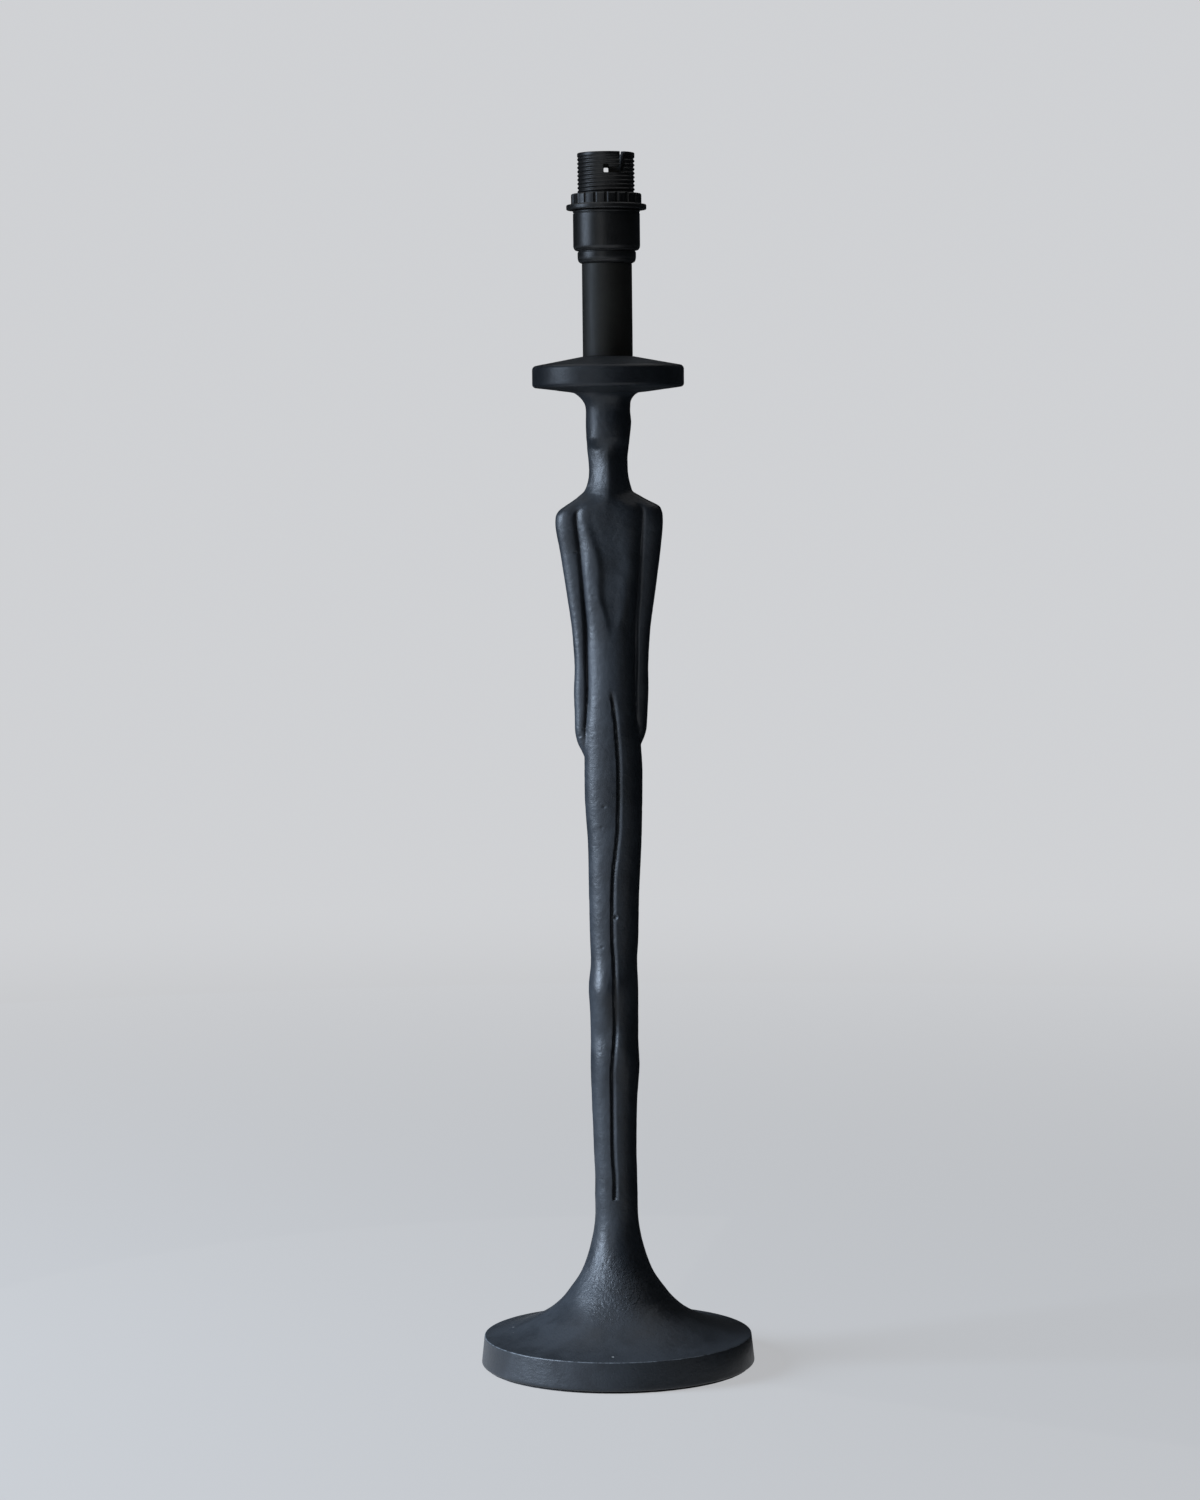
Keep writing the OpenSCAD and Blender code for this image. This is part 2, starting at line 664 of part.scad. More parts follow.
plunger_collar_d = plunger_tip_d + 1;
plunger_bore_r = plunger_collar_d / 2 + run_fit;
collar_t = 2;
block_lip_t = 1.7;
collar_top = block_top - block_lip_t - 0.1;
collar_low = collar_top - collar_t;
pilot_l = 1.6;
stem_h = collar_low - block_deck - pilot_l - plunger_travel - 1.1;
spring_low = block_deck + stem_h;
terminal_w = 6.4;
terminal_h = 8;
terminal_low = block_deck - terminal_h;
terminal_hole_r = wire_r + 0.2;
terminal_screw_h = terminal_low + 2.6;
terminal_screw_r = 1.2;

// Block with a skirt round the terminals and a rim that the barrel's shoulder holds down
module contact_block() {
    outer_r = barrel_r - 1.8;
    skirt_t = 1.5;
    rib_t = 1.6;
    color([0.88, 0.86, 0.8])
        difference() {
            union() {
                translate([0, 0, cap_floor]) washer(outer_r, outer_r - skirt_t, block_skirt_h + cut);
                translate([0, 0, block_deck]) cylinder(r = outer_r, h = block_deck_t);
                translate([0, 0, block_deck]) washer(outer_r, socket_r + 0.3, block_rim_top - block_deck);
                intersection() {
                    translate([0, 0, terminal_low]) cylinder(r = outer_r - 0.5, h = terminal_h + cut);
                    translate([-rib_t / 2, -outer_r, terminal_low]) cube([rib_t, 2 * outer_r, terminal_h + cut]);
                }
            }
            for (x = [-1, 1] * contact_gap / 2)
                translate([x, 0, 0]) {
                    translate([0, 0, terminal_low])
                        cylinder(r = plunger_bore_r, h = block_top - block_lip_t - terminal_low);
                    translate([0, 0, block_deck])
                        cylinder(r = plunger_tip_d / 2 + run_fit, h = block_deck_t + cut);
                }
        }
}

// Brass terminal under a plunger: stem in the block, and a head that clamps the wire
module terminal(side) {
    head_round = 0.5;
    color([0.85, 0.7, 0.35])
        translate([side * contact_gap / 2, 0, 0])
            difference() {
                union() {
                    translate([0, 0, block_deck - cut])
                        cylinder(r = plunger_bore_r - thread_fit, h = stem_h + cut);
                    translate([-terminal_w / 2, -terminal_w / 2, terminal_low])
                        cube([terminal_w, terminal_w, terminal_h]);
                }
                translate([0, 0, terminal_low - cut]) cylinder(r = terminal_hole_r, h = 5 + cut, $fn = 32);
                translate([0, 0, terminal_screw_h])
                    rotate([0, side * 90, 0])
                        cylinder(r = terminal_screw_r + thread_fit, h = terminal_w, $fn = 32);
                for (a = [0, 90, 180, 270])
                    rotate([0, 0, a + 45])
                        translate([terminal_w / sqrt(2) - head_round, -terminal_w, terminal_low - cut])
                            cube([3, 2 * terminal_w, terminal_h + cut]);
            }
}

module terminal_left() { terminal(-1); }

module terminal_right() { terminal(1); }

module terminal_screws() {
    from = wire_r + 0.05;
    long = terminal_w / 2 + 1.7 - from;
    color([0.85, 0.7, 0.35])
        for (side = [-1, 1])
            translate([side * (contact_gap / 2 + from), 0, terminal_screw_h])
                rotate([0, side * 90, 0])
                    difference() {
                        cylinder(r = terminal_screw_r, h = long, $fn = 32);
                        translate([-2, -0.25, long - 0.7]) cube([4, 0.5, 2]);
                    }
}

// Contact plunger: pilot for the spring, collar under the block's lip, and tip
module plunger(side) {
    tip_r = plunger_tip_d / 2;
    tip_top = block_top + plunger_out;
    tip_round = 0.8;
    color([0.85, 0.7, 0.35])
        translate([side * contact_gap / 2, 0, 0])
            rotate_extrude()
                polygon(concat(
                    [[0, collar_low - pilot_l], [1.1, collar_low - pilot_l], [1.1, collar_low]],
                    [[plunger_collar_d / 2, collar_low], [plunger_collar_d / 2, collar_top]],
                    [[tip_r, collar_top]],
                    arc(tip_r - tip_round, tip_top - tip_round, tip_round, 0, 90),
                    [[0, tip_top]]
                ));
}

module plunger_left() { plunger(-1); }

module plunger_right() { plunger(1); }

module plunger_spring(side) {
    turns = 5;
    coil_r = plunger_collar_d / 2 - spring_wire / 2 - 0.35;
    color([0.75, 0.75, 0.75])
        translate([side * contact_gap / 2, 0, spring_low])
            coil_spring(coil_r, spring_wire, collar_low - spring_low, turns);
}

module plunger_spring_left() { plunger_spring(-1); }

module plunger_spring_right() { plunger_spring(1); }

barrel_h = cover_top + 6;
block_l = 14;

// Route of a wire from its pole in the foot to its terminal in the lampholder
module rod_wire(side) {
    low = [
        [side * pole_gap, block_y + 6, barrel_h], [side * pole_gap, block_y - 1, barrel_h],
        [side * 7.6, block_y - 5.5, barrel_h + 0.6], [side * 4.4, block_y - 10.5, barrel_h + 2.2],
        [side * 1.9, 1.3, rod_low - 4], [side * 1.5, 0, rod_low + 1]
    ];
    high = [
        [side * 1.5, 0, rod_top - 1], [side * 1.9, 0, rod_top + 1.2],
        [side * (contact_gap / 2 - 0.5), 0, terminal_low - 2.4],
        [side * contact_gap / 2, 0, terminal_low], [side * contact_gap / 2, 0, terminal_low + 4.6]
    ];
    sweep(concat(curve(low, 3), curve(high, 3)), wire_r, 8);
}

module live_wire() {
    color([0.4, 0.22, 0.12]) rod_wire(1);
}

module neutral_wire() {
    color([0.15, 0.3, 0.6]) rod_wire(-1);
}

module earth_wire() {
    route = [
        [0, 9, tag_h - wire_r], [0, 13.5, tag_h - wire_r], [0, 17, tag_h - 2.6], [0, 17.5, tag_h - 6],
        [0, 14.6, tag_h - 10], [0, 11.2, barrel_h + 4.2], [0, 11, barrel_h + 1.4],
        [0, block_y - 1, barrel_h], [0, block_y + 6, barrel_h]
    ];
    color([0.35, 0.6, 0.15]) sweep(curve(route, 3), wire_r, 8);
}

POLES = [-1, 0, 1] * pole_gap;
screw_rows = [block_y + 3.5, block_y + block_l - 3.5];
pole_r = 2.3;
block_h = 12;
block_base_h = 9;
well_r = 1.8;

module terminal_block() {
    wide = 2 * pole_gap + 9;
    color([0.92, 0.9, 0.84])
        difference() {
            union() {
                translate([-wide / 2, block_y, cover_top]) cube([wide, block_l, block_base_h]);
                for (x = POLES, y = screw_rows)
                    translate([x, y, cover_top + 1]) cylinder(r = 3.1, h = block_h - 1, $fn = 32);
            }
            for (x = POLES) {
                translate([x, block_y - cut, barrel_h])
                    rotate([-90, 0, 0]) cylinder(r = pole_r + thread_fit, h = block_l + 2 * cut, $fn = 32);
                for (y = screw_rows)
                    translate([x, y, barrel_h]) cylinder(r = well_r, h = block_h, $fn = 32);
            }
            for (x = [-1, 1] * pole_gap / 2)
                translate([x, block_y + block_l / 2, cover_top - cut])
                    cylinder(r = 1.6, h = block_h + 2 * cut, $fn = 32);
        }
}

// Brass barrels inside the terminal block, one for each wire
module block_barrels() {
    inset = 0.5;
    color([0.85, 0.7, 0.35])
        for (x = POLES)
            difference() {
                translate([x, block_y + inset, barrel_h])
                    rotate([-90, 0, 0]) washer(pole_r, wire_r + 0.4, block_l - 2 * inset);
                for (y = screw_rows)
                    translate([x, y, barrel_h]) cylinder(r = 1.25, h = 4, $fn = 32);
            }
}

// Slotted screws that hold the wires in the barrels
module wire_screws() {
    tip = barrel_h + wire_r + 0.05;
    head_low = barrel_h + pole_r + 1.6;
    head_t = 1.3;
    color([0.7, 0.7, 0.7])
        for (x = POLES, y = screw_rows)
            translate([x, y, 0])
                difference() {
                    union() {
                        translate([0, 0, tip]) cylinder(r = 1.2, h = head_low - tip + 0.1, $fn = 32);
                        translate([0, 0, head_low]) cylinder(r = well_r - 0.1, h = head_t, $fn = 32);
                    }
                    translate([-2, -0.25, head_low + head_t - 0.6]) cube([4, 0.5, 2]);
                }
}

// Pan-headed screw hanging from the plane z = 0 under its head
module pan_screw(shank_l) {
    head_r = 2.6;
    head_t = 1.7;
    difference() {
        union() {
            rotate_extrude($fn = 32)
                polygon(concat(
                    [[0, 0], [head_r, 0]],
                    arc(head_r - 0.8, head_t - 0.8, 0.8, 0, 90, 3),
                    [[0, head_t]]
                ));
            translate([0, 0, -shank_l]) cylinder(r = 1.4, h = shank_l + 0.1, $fn = 32);
        }
        translate([-3, -0.3, head_t - 0.7]) cube([6, 0.6, 2]);
    }
}

module block_fixing_screws() {
    color([0.7, 0.7, 0.7])
        for (x = [-1, 1] * pole_gap / 2)
            translate([x, block_y + block_l / 2, cover_top + block_base_h])
                pan_screw(block_base_h + cover_t);
}

clamp_y = foot_r - foot_rim_w - 19;
clamp_l = 6;
clamp_tab_t = 1.6;
clamp_screw_x = 8;

// Saddle that holds the cord down on the cover
module cord_clamp() {
    grip_r = cord_d / 2 - 0.2;
    wall = 1.4;
    top = inlet_h - cover_top;
    color([0.85, 0.83, 0.78])
        translate([0, clamp_y + clamp_l, cover_top])
            rotate([90, 0, 0])
                difference() {
                    linear_extrude(clamp_l)
                        difference() {
                            union() {
                                translate([-clamp_screw_x - 3, 0]) square([2 * clamp_screw_x + 6, clamp_tab_t]);
                                translate([0, top]) circle(r = grip_r + wall);
                                translate([-grip_r - wall, 0]) square([2 * (grip_r + wall), top]);
                            }
                            translate([0, top]) circle(r = grip_r);
                            translate([-grip_r, -cut]) square([2 * grip_r, top + cut]);
                            translate([-20, -20]) square([40, 20]);
                        }
                    for (x = [-1, 1] * clamp_screw_x)
                        translate([x, -cut, clamp_l / 2])
                            rotate([-90, 0, 0]) cylinder(r = 1.5, h = clamp_tab_t + 2 * cut, $fn = 32);
                }
}

module clamp_screws() {
    color([0.7, 0.7, 0.7])
        for (x = [-1, 1] * clamp_screw_x)
            translate([x, clamp_y + clamp_l / 2, cover_top + clamp_tab_t]) pan_screw(clamp_tab_t + cover_t);
}

// Bush that lines the cord's hole through the rim
module cord_inlet_bush() {
    bush_l = foot_rim_w - 3;
    color([0.06, 0.06, 0.06])
        translate([0, inlet_out, inlet_h])
            rotate([-90, 0, 0])
                difference() {
                    union() {
                        translate([0, 0, -bush_l]) cylinder(r = bush_r, h = bush_l + 0.5);
                        cylinder(r = bush_flange_r, h = bush_flange_t);
                    }
                    translate([0, 0, -bush_l - cut])
                        cylinder(r = cord_d / 2, h = bush_l + bush_flange_t + 2 * cut);
                }
}

module bottom_cover() {
    color([0.6, 0.6, 0.6])
        difference() {
            translate([0, 0, felt_t])
                cylinder(r = foot_r - foot_rim_w + 3.5 - cover_fit, h = cover_t, $fn = 96);
            at_cover_screws() {
                cylinder(r = cover_screw_r + 0.2, h = cover_top + cut, $fn = 32);
                translate([0, 0, felt_t - 0.01]) cylinder(r1 = 3.4, r2 = 1.6, h = 1.8, $fn = 32);
            }
            for (x = [-1, 1] * pole_gap / 2)
                translate([x, block_y + block_l / 2, 0])
                    cylinder(r = 1.4 + thread_fit, h = cover_top + cut, $fn = 32);
            for (x = [-1, 1] * clamp_screw_x)
                translate([x, clamp_y + clamp_l / 2, 0])
                    cylinder(r = 1.4 + thread_fit, h = cover_top + cut, $fn = 32);
        }
}

// Countersunk screws that hold the cover up in the foot
module cover_screws() {
    color([0.7, 0.7, 0.7])
        at_cover_screws()
            translate([0, 0, felt_t])
                difference() {
                    union() {
                        cylinder(r1 = 3.2, r2 = cover_screw_r, h = 1.8, $fn = 32);
                        cylinder(r = cover_screw_r, h = cover_screw_l, $fn = 32);
                    }
                    translate([-2.2, -0.35, -cut]) cube([4.4, 0.7, cut + 0.8]);
                    translate([-0.35, -2.2, -cut]) cube([0.7, 4.4, cut + 0.8]);
                }
}

module felt_pad() {
    color([0.08, 0.08, 0.08]) cylinder(r = foot_r - 1.8, h = felt_t, $fn = 96);
}

figure_casting();
threaded_rod();
foot_washer();
earth_tag();
foot_lock_washer();
foot_nut();
upper_washer();
upper_nut();
candle_tube();
tube_bush();
lampholder_cap();
cap_grub_screw();
lampholder_barrel();
shade_ring();
contact_block();
terminal_left();
terminal_right();
terminal_screws();
plunger_left();
plunger_right();
plunger_spring_left();
plunger_spring_right();
live_wire();
neutral_wire();
earth_wire();
terminal_block();
block_barrels();
wire_screws();
block_fixing_screws();
cord_clamp();
clamp_screws();
cord_inlet_bush();
bottom_cover();
cover_screws();
felt_pad();
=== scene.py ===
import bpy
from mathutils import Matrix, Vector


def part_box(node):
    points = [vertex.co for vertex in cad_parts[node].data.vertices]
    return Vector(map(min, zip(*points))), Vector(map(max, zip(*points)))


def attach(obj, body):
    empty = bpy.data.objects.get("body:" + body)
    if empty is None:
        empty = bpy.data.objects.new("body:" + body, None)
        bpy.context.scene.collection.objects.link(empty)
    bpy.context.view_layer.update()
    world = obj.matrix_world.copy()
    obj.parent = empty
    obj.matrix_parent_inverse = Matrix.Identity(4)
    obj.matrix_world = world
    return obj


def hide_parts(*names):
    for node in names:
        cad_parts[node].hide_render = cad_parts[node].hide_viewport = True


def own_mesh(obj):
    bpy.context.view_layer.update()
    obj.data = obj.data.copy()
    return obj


bl_info = {
    "name": "Figure Lamp Base",
    "version": (1, 0, 0),
    "blender": (4, 5, 0),
    "location": "3D View > Sidebar > Lamp Base",
    "description": "Dresses the packed lamp base and sets up its studio",
    "category": "Add Mesh",
}

import math

import bmesh
import bpy
import numpy as np
from bpy.props import FloatProperty, FloatVectorProperty, IntProperty, PointerProperty
from mathutils import Matrix, Vector

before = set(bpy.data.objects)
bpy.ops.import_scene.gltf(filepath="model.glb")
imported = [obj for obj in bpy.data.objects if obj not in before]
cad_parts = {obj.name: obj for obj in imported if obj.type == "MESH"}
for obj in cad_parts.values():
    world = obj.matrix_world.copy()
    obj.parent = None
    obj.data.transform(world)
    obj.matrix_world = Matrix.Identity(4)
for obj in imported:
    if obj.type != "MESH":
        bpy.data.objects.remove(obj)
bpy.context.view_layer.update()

MM = 0.001
RIM_HEIGHT = 15.6
SURROUND = (0.63, 0.64, 0.66, 1)


def extent(node):
    """Radius, foot and top of a round CAD node."""
    low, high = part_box(node)
    return high.x, low.z, high.z


FOOT_RADIUS, _, DISC_TOP = extent("figure_casting")
PAD_RADIUS, _, PAD_TOP = extent("felt_pad")
TUBE_RADIUS, _, TUBE_TOP = extent("candle_tube")
_, _, CAP_TOP = extent("lampholder_cap")
BARREL_RADIUS, BARREL_LOW, BARREL_TOP = extent("lampholder_barrel")
RING_RADIUS, RING_LOW, RING_TOP = extent("shade_ring")

# Body from the ankles up, in mm: height, then reach to the left, right, front and back
BODY = [
    (-24, 10, 10, 10, 10), (0, 10.8, 10.6, 10.4, 10.4), (11, 10.8, 10.6, 10.2, 10.4),
    (26, 11.3, 10.4, 10.2, 10.8), (49, 12, 11, 10.2, 11.6), (66, 12.4, 12.3, 10.4, 12.2),
    (80, 12.2, 11.9, 10.8, 11.8), (95, 12.5, 12, 10.3, 10.8), (107, 13, 12.1, 11.5, 10.4),
    (119, 11.8, 11.7, 10.7, 10.3), (133, 12.1, 12.4, 10.4, 10.7), (156, 12.4, 13.1, 10.6, 11.2),
    (179, 12.6, 14.4, 10.8, 11.8), (202, 13.9, 15.1, 11, 12.6), (220, 13.9, 15.2, 11, 13.2),
    (238, 13.8, 14, 11, 13.2), (260, 12.6, 12.6, 10.6, 11.4), (288, 13, 13, 10.4, 9.8),
    (310, 14.4, 14.4, 10.7, 10.2), (330, 15.8, 15.8, 11, 10.8), (344, 17.2, 17.2, 10.8, 10.8),
    (351, 16.4, 16.4, 10.3, 10), (356, 13.2, 12.2, 9.8, 9.4), (359, 11.5, 11, 9.5, 9.1),
    (364, 10.2, 9.8, 9.2, 9), (369, 10.1, 9.4, 9, 9.2), (374, 10.5, 9.4, 9, 9.8),
    (377.5, 10.9, 9.8, 9.5, 10.8), (381.5, 11.1, 10.3, 10.8, 11.7), (384, 11.3, 10.6, 11.5, 12.4),
    (391, 11.4, 11.3, 12, 13.2), (397, 11.3, 10.9, 11.6, 12.9), (399.5, 11.6, 11, 11.8, 12.8),
    (402, 12.8, 11.4, 12.4, 13.2), (404.2, 14.7, 12.7, 13.6, 14.2), (406, 17.2, 15.2, 16, 16.2),
    (407.5, 21, 20, 20.5, 20.5),
]
# Arms: height, reach to the left and right, half width and half depth
ARMS = [
    (216, 11, 11, 1.6, 2), (222, 13.2, 13, 2.2, 3), (226, 15, 14, 2.5, 3.8),
    (230, 17, 14.9, 2.7, 4.4), (233, 17.9, 16.2, 2.8, 4.7), (237, 18.5, 17.4, 2.9, 4.9),
    (243, 18.6, 18, 3, 5), (256, 18.8, 18.7, 3.4, 5.2), (270, 18.4, 18.8, 3.1, 5.4),
    (288, 19.5, 20, 3.6, 5.6), (306, 22, 22.6, 4.4, 6), (326, 24.9, 25.3, 5.3, 6.6),
    (338, 27, 26.6, 5.6, 7.2), (344, 27, 26.7, 5.5, 7.4), (347, 25.6, 26.2, 5.2, 7),
    (349.5, 22.4, 24.6, 5.2, 6.4), (352, 18.6, 19.8, 5, 5.8), (354, 15.9, 16.2, 4.6, 5),
    (357, 12.4, 11.5, 4, 4), (361, 9, 9, 3, 3),
]
# Gap between the legs in front: height, place and depth as a share of the full depth
LEG_GAP = [
    (-0.9, -1.4, 0), (0.5, -1.4, 1), (11, -1.3, 1), (22, -1.9, 1), (53, -2, 1), (65, -2, 1),
    (73, -1.3, 1), (83, -0.5, 1.1), (99, -0.3, 0.9), (118, -0.4, 1), (133, -1.1, 1), (155, -0.8, 1),
    (166, -0.2, 1), (176, 1, 1), (188, 2.2, 1), (215, 2.8, 1), (228, 2.4, 1), (242, 1.4, 1),
    (252, 0.3, 0.8), (257, 0, 0),
]
# Folds between the arms and the body: height, place and depth
ARM_FOLD = [
    (236, 13.4, 0), (240, 12.9, 0.5), (246, 12, 0.6), (258, 11.8, 0.7), (273, 12.3, 0.7),
    (288, 12.3, 0.8), (303, 13.2, 0.8), (319, 14.2, 0.7), (331, 15, 0.42), (341, 16.6, 0.2),
    (347, 17.3, 0),
]
# Hollow of the chest: height, place, half width and depth
CHEST = [
    (284, 1.3, 1.5, 0), (292, 1.6, 3.8, 0.6), (305, 2, 8, 1.2), (322, 3, 9.8, 1.3), (340, 0, 13, 1),
    (348, 0, 14, 0.35), (354, 0, 14, 0),
]
# Swellings and hollows of the front: height, place, how far out, half height and half width
SWELLS = [
    (100, -5.9, 2.8, 11, 5.2), (83, -6.8, -1.3, 4.5, 5), (67, -6.5, 1.1, 7.5, 4.5),
    (74, 5.5, 0.4, 12, 3), (76, 3.5, 0.7, 7, 3), (103, 4, 0.5, 9, 3.5), (303, 5, 0.4, 9, 3.2),
    (352, -1.5, 0.5, 4, 2.6), (366, 2.4, 0.5, 8, 2.4),
]
# Height of the body's table from the ankles to the disc, in mm
FIGURE_HEIGHT = 404.6
# Flare of the foot: radius, then height above the rim
FLARE = [
    (67.3, 0), (62, 0.9), (56, 2.3), (50, 4.3), (44, 6.9), (38, 10.1), (33.2, 13.4), (28.2, 18),
    (24.7, 22.4), (18.6, 31.3), (14.9, 40.5), (12.4, 49.7), (11, 57.5), (10.2, 64), (9.5, 70.6),
]
# Small pits left by the casting: across, up, radius and depth
PITS = [
    (-4.3, 285.2, 1.1, 0.61), (-5.4, 274.7, 0.9, 0.41), (0.9, 229.3, 1.3, 1.22),
    (-5.9, 214.1, 0.9, 0.41), (-7.6, 422.4, 0.7, 0.41), (-6.2, 422.8, 0.7, 0.41),
    (-21.1, 425, 0.8, 0.34), (-17, 412.7, 0.9, 0.54), (-8, 390.9, 0.8, 0.34), (-16, 320.5, 1, 0.42),
    (-14.4, 324, 0.8, 0.3), (-16.9, 317.2, 0.8, 0.35),
]


# Settings

def size_setting(name, description, default):
    return FloatProperty(name=name, description=description, default=default, unit="LENGTH")


def colour_setting(name, description, default):
    return FloatVectorProperty(
        name=name, description=description, subtype="COLOR", size=3, default=default, min=0, max=1)


class CastingSettings(bpy.types.PropertyGroup):
    foot_radius: size_setting("Foot Radius", "Radius of the foot at the table", FOOT_RADIUS)
    rim_height: size_setting("Rim Height", "Height of the top of the foot's rim", RIM_HEIGHT * MM)
    ankle_height: size_setting(
        "Ankle Height", "Height where the gap between the legs starts", 86.2 * MM)
    disc_height: size_setting(
        "Disc Height", "Height of the disc's underside at its middle", 490.8 * MM)
    disc_radius: size_setting("Disc Radius", "Radius of the disc", 38 * MM)
    disc_edge: size_setting("Disc Edge", "Height of the disc's upright edge", 11.1 * MM)
    gap_depth: size_setting("Leg Gap Depth", "Depth of the gap between the legs", 1.6 * MM)
    lump_height: size_setting("Lump Height", "Height of the casting's broad unevenness", 0.16 * MM)
    ripple_height: size_setting(
        "Ripple Height", "Height of the wrinkles on the front of the flare", 0.1 * MM)
    paint: colour_setting("Paint", "Colour of the casting's paint", (0.026, 0.030, 0.035))
    worn: colour_setting("Worn Edge", "Colour of the paint's worn edges", (0.20, 0.215, 0.23))
    dust: colour_setting("Dust", "Colour of the dust", (0.36, 0.35, 0.33))


class TubeSettings(bpy.types.PropertyGroup):
    wall: size_setting("Wall", "Wall of the candle tube", 1.2 * MM)
    # The tube's own black paint, tinted warm as painted light for the warm light that falls on it
    paint: colour_setting("Paint", "Colour of the candle tube", (0.025, 0.0245, 0.021))


class LampholderSettings(bpy.types.PropertyGroup):
    pitch: size_setting("Thread Pitch", "Pitch of the shade ring's thread", 2 * MM)
    thread_depth: size_setting("Thread Depth", "Depth of the shade ring's thread", 0.55 * MM)
    grips: IntProperty(
        name="Finger Grips", description="Number of finger grips round the shade ring",
        default=20, min=6)
    spring_wire: size_setting("Spring Wire", "Thickness of the contact springs' wire", 0.45 * MM)
    plunger_travel: size_setting("Plunger Travel", "How far a contact plunger goes down", 3.5 * MM)
    finish: colour_setting("Finish", "Colour of the lampholder", (0.016, 0.016, 0.0155))


class StageSettings(bpy.types.PropertyGroup):
    floor: colour_setting("Floor", "Colour of the floor", (0.62, 0.60, 0.57))
    key_power: FloatProperty(
        name="Key Power", description="Power of the soft window light, in watts", default=82, min=0)
    surround: FloatProperty(
        name="Surround", description="Strength of the plain light all round", default=0.11, min=0)
    focal_length: FloatProperty(
        name="Focal Length", description="Focal length of the camera, in mm on a 36 mm frame",
        default=95.7, min=10)


# Node helpers

def put(tree, kind, values=None, **settings):
    """Adds a node, applies its settings, and sets or links its inputs by name or number."""
    node = tree.nodes.new(kind)
    for key, value in settings.items():
        setattr(node, key, value)
    for key, value in (values or {}).items():
        socket = node.inputs[key]
        if isinstance(value, bpy.types.NodeSocket):
            tree.links.new(value, socket)
        else:
            socket.default_value = value
    return node


def empty_tree(name, kind, inputs, outputs):
    """Makes a node group with named sockets and its input node."""
    tree = bpy.data.node_groups.new(name, kind)
    for way, sockets in (("INPUT", inputs), ("OUTPUT", outputs)):
        for label, sort, *value in sockets:
            socket = tree.interface.new_socket(
                name=label, in_out=way, socket_type="NodeSocket" + sort)
            if value:
                socket.default_value = value[0]
    return tree, put(tree, "NodeGroupInput").outputs


def shader_group(name, inputs, outputs):
    tree, ins = empty_tree(name, "ShaderNodeTree", inputs, outputs)
    return tree, ins, put(tree, "NodeGroupOutput").inputs


def math_node(tree, operation, a, b=0.0, clamp=False):
    node = put(tree, "ShaderNodeMath", {0: a, 1: b}, operation=operation, use_clamp=clamp)
    return node.outputs[0]


def plus(tree, a, b, clamp=False):
    return math_node(tree, "ADD", a, b, clamp)


def minus(tree, a, b):
    return math_node(tree, "SUBTRACT", a, b)


def times(tree, a, b, clamp=False):
    return math_node(tree, "MULTIPLY", a, b, clamp)


def vector_math(tree, operation, values, output=0):
    return put(tree, "ShaderNodeVectorMath", values, operation=operation).outputs[output]


def mix_shaders(tree, factor, a, b):
    return put(tree, "ShaderNodeMixShader", {0: factor, 1: a, 2: b}).outputs[0]


def blend_colour(tree, factor, a, b):
    return put(tree, "ShaderNodeMix", {0: factor, 6: a, 7: b}, data_type="RGBA").outputs[2]


def span(tree, value, low, high, to_low=0.0, to_high=1.0):
    """Maps a value from one span to another, softly and without going past the ends."""
    return put(
        tree, "ShaderNodeMapRange", {0: value, 1: low, 2: high, 3: to_low, 4: to_high},
        interpolation_type="SMOOTHSTEP").outputs[0]


def object_coordinates(tree):
    return put(tree, "ShaderNodeTexCoord").outputs["Object"]


def object_place(tree, scale=(1, 1, 1)):
    """Object coordinates, stretched for a drawn-out pattern."""
    place = object_coordinates(tree)
    return put(tree, "ShaderNodeMapping", {"Vector": place, "Scale": scale}).outputs[0]


def noise(tree, place, scale, detail=3.0, roughness=0.55, distortion=0.0):
    return put(tree, "ShaderNodeTexNoise", {
        "Vector": place, "Scale": scale, "Detail": detail, "Roughness": roughness,
        "Distortion": distortion}).outputs[0]


def attribute(tree, name):
    return put(tree, "ShaderNodeAttribute", attribute_name=name).outputs["Fac"]


def seen_directly(tree):
    """1 for what the camera sees, directly, in a gloss or through glass, and 0 for plain light."""
    path = put(tree, "ShaderNodeLightPath").outputs
    gloss = math_node(tree, "MAXIMUM", path["Is Glossy Ray"], path["Is Transmission Ray"])
    return math_node(tree, "MAXIMUM", path["Is Camera Ray"], gloss)


def colour(rgb):
    return (*rgb, 1.0)


def grey(value):
    return (value, value, value, 1)


def mottled(tree, value, dark, light, low=0.3, high=0.7):
    """Two colours blended by a noise, softly between two of its values."""
    return blend_colour(tree, span(tree, value, low, high), dark, light)


# Shared effects

def cast_grain_group():
    """Sand-cast grain under paint: a height for bump and a slow mottle."""
    tree, ins, outs = shader_group(
        "cast_grain",
        [("Grain Scale", "Float", 1500.0), ("Lump Scale", "Float", 260.0),
         ("Pit Amount", "Float", 0.5)],
        [("Height", "Float"), ("Mottle", "Float")])
    place = object_place(tree)
    grain = noise(tree, place, ins["Grain Scale"], 4, 0.6)
    lumps = noise(tree, place, ins["Lump Scale"], 4, 0.55, 0.4)
    cells = put(tree, "ShaderNodeTexVoronoi", {"Vector": place, "Scale": 420.0}).outputs["Distance"]
    pits = times(tree, span(tree, cells, 0.05, 0.22, -1, 0), ins["Pit Amount"])
    height = plus(tree, times(tree, grain, 0.35), lumps)
    height = plus(tree, height, times(tree, pits, 0.35))
    tree.links.new(height, outs["Height"])
    slow = noise(tree, place, 45.0, 5, 0.6)
    tree.links.new(span(tree, slow, 0.32, 0.68), outs["Mottle"])
    return tree


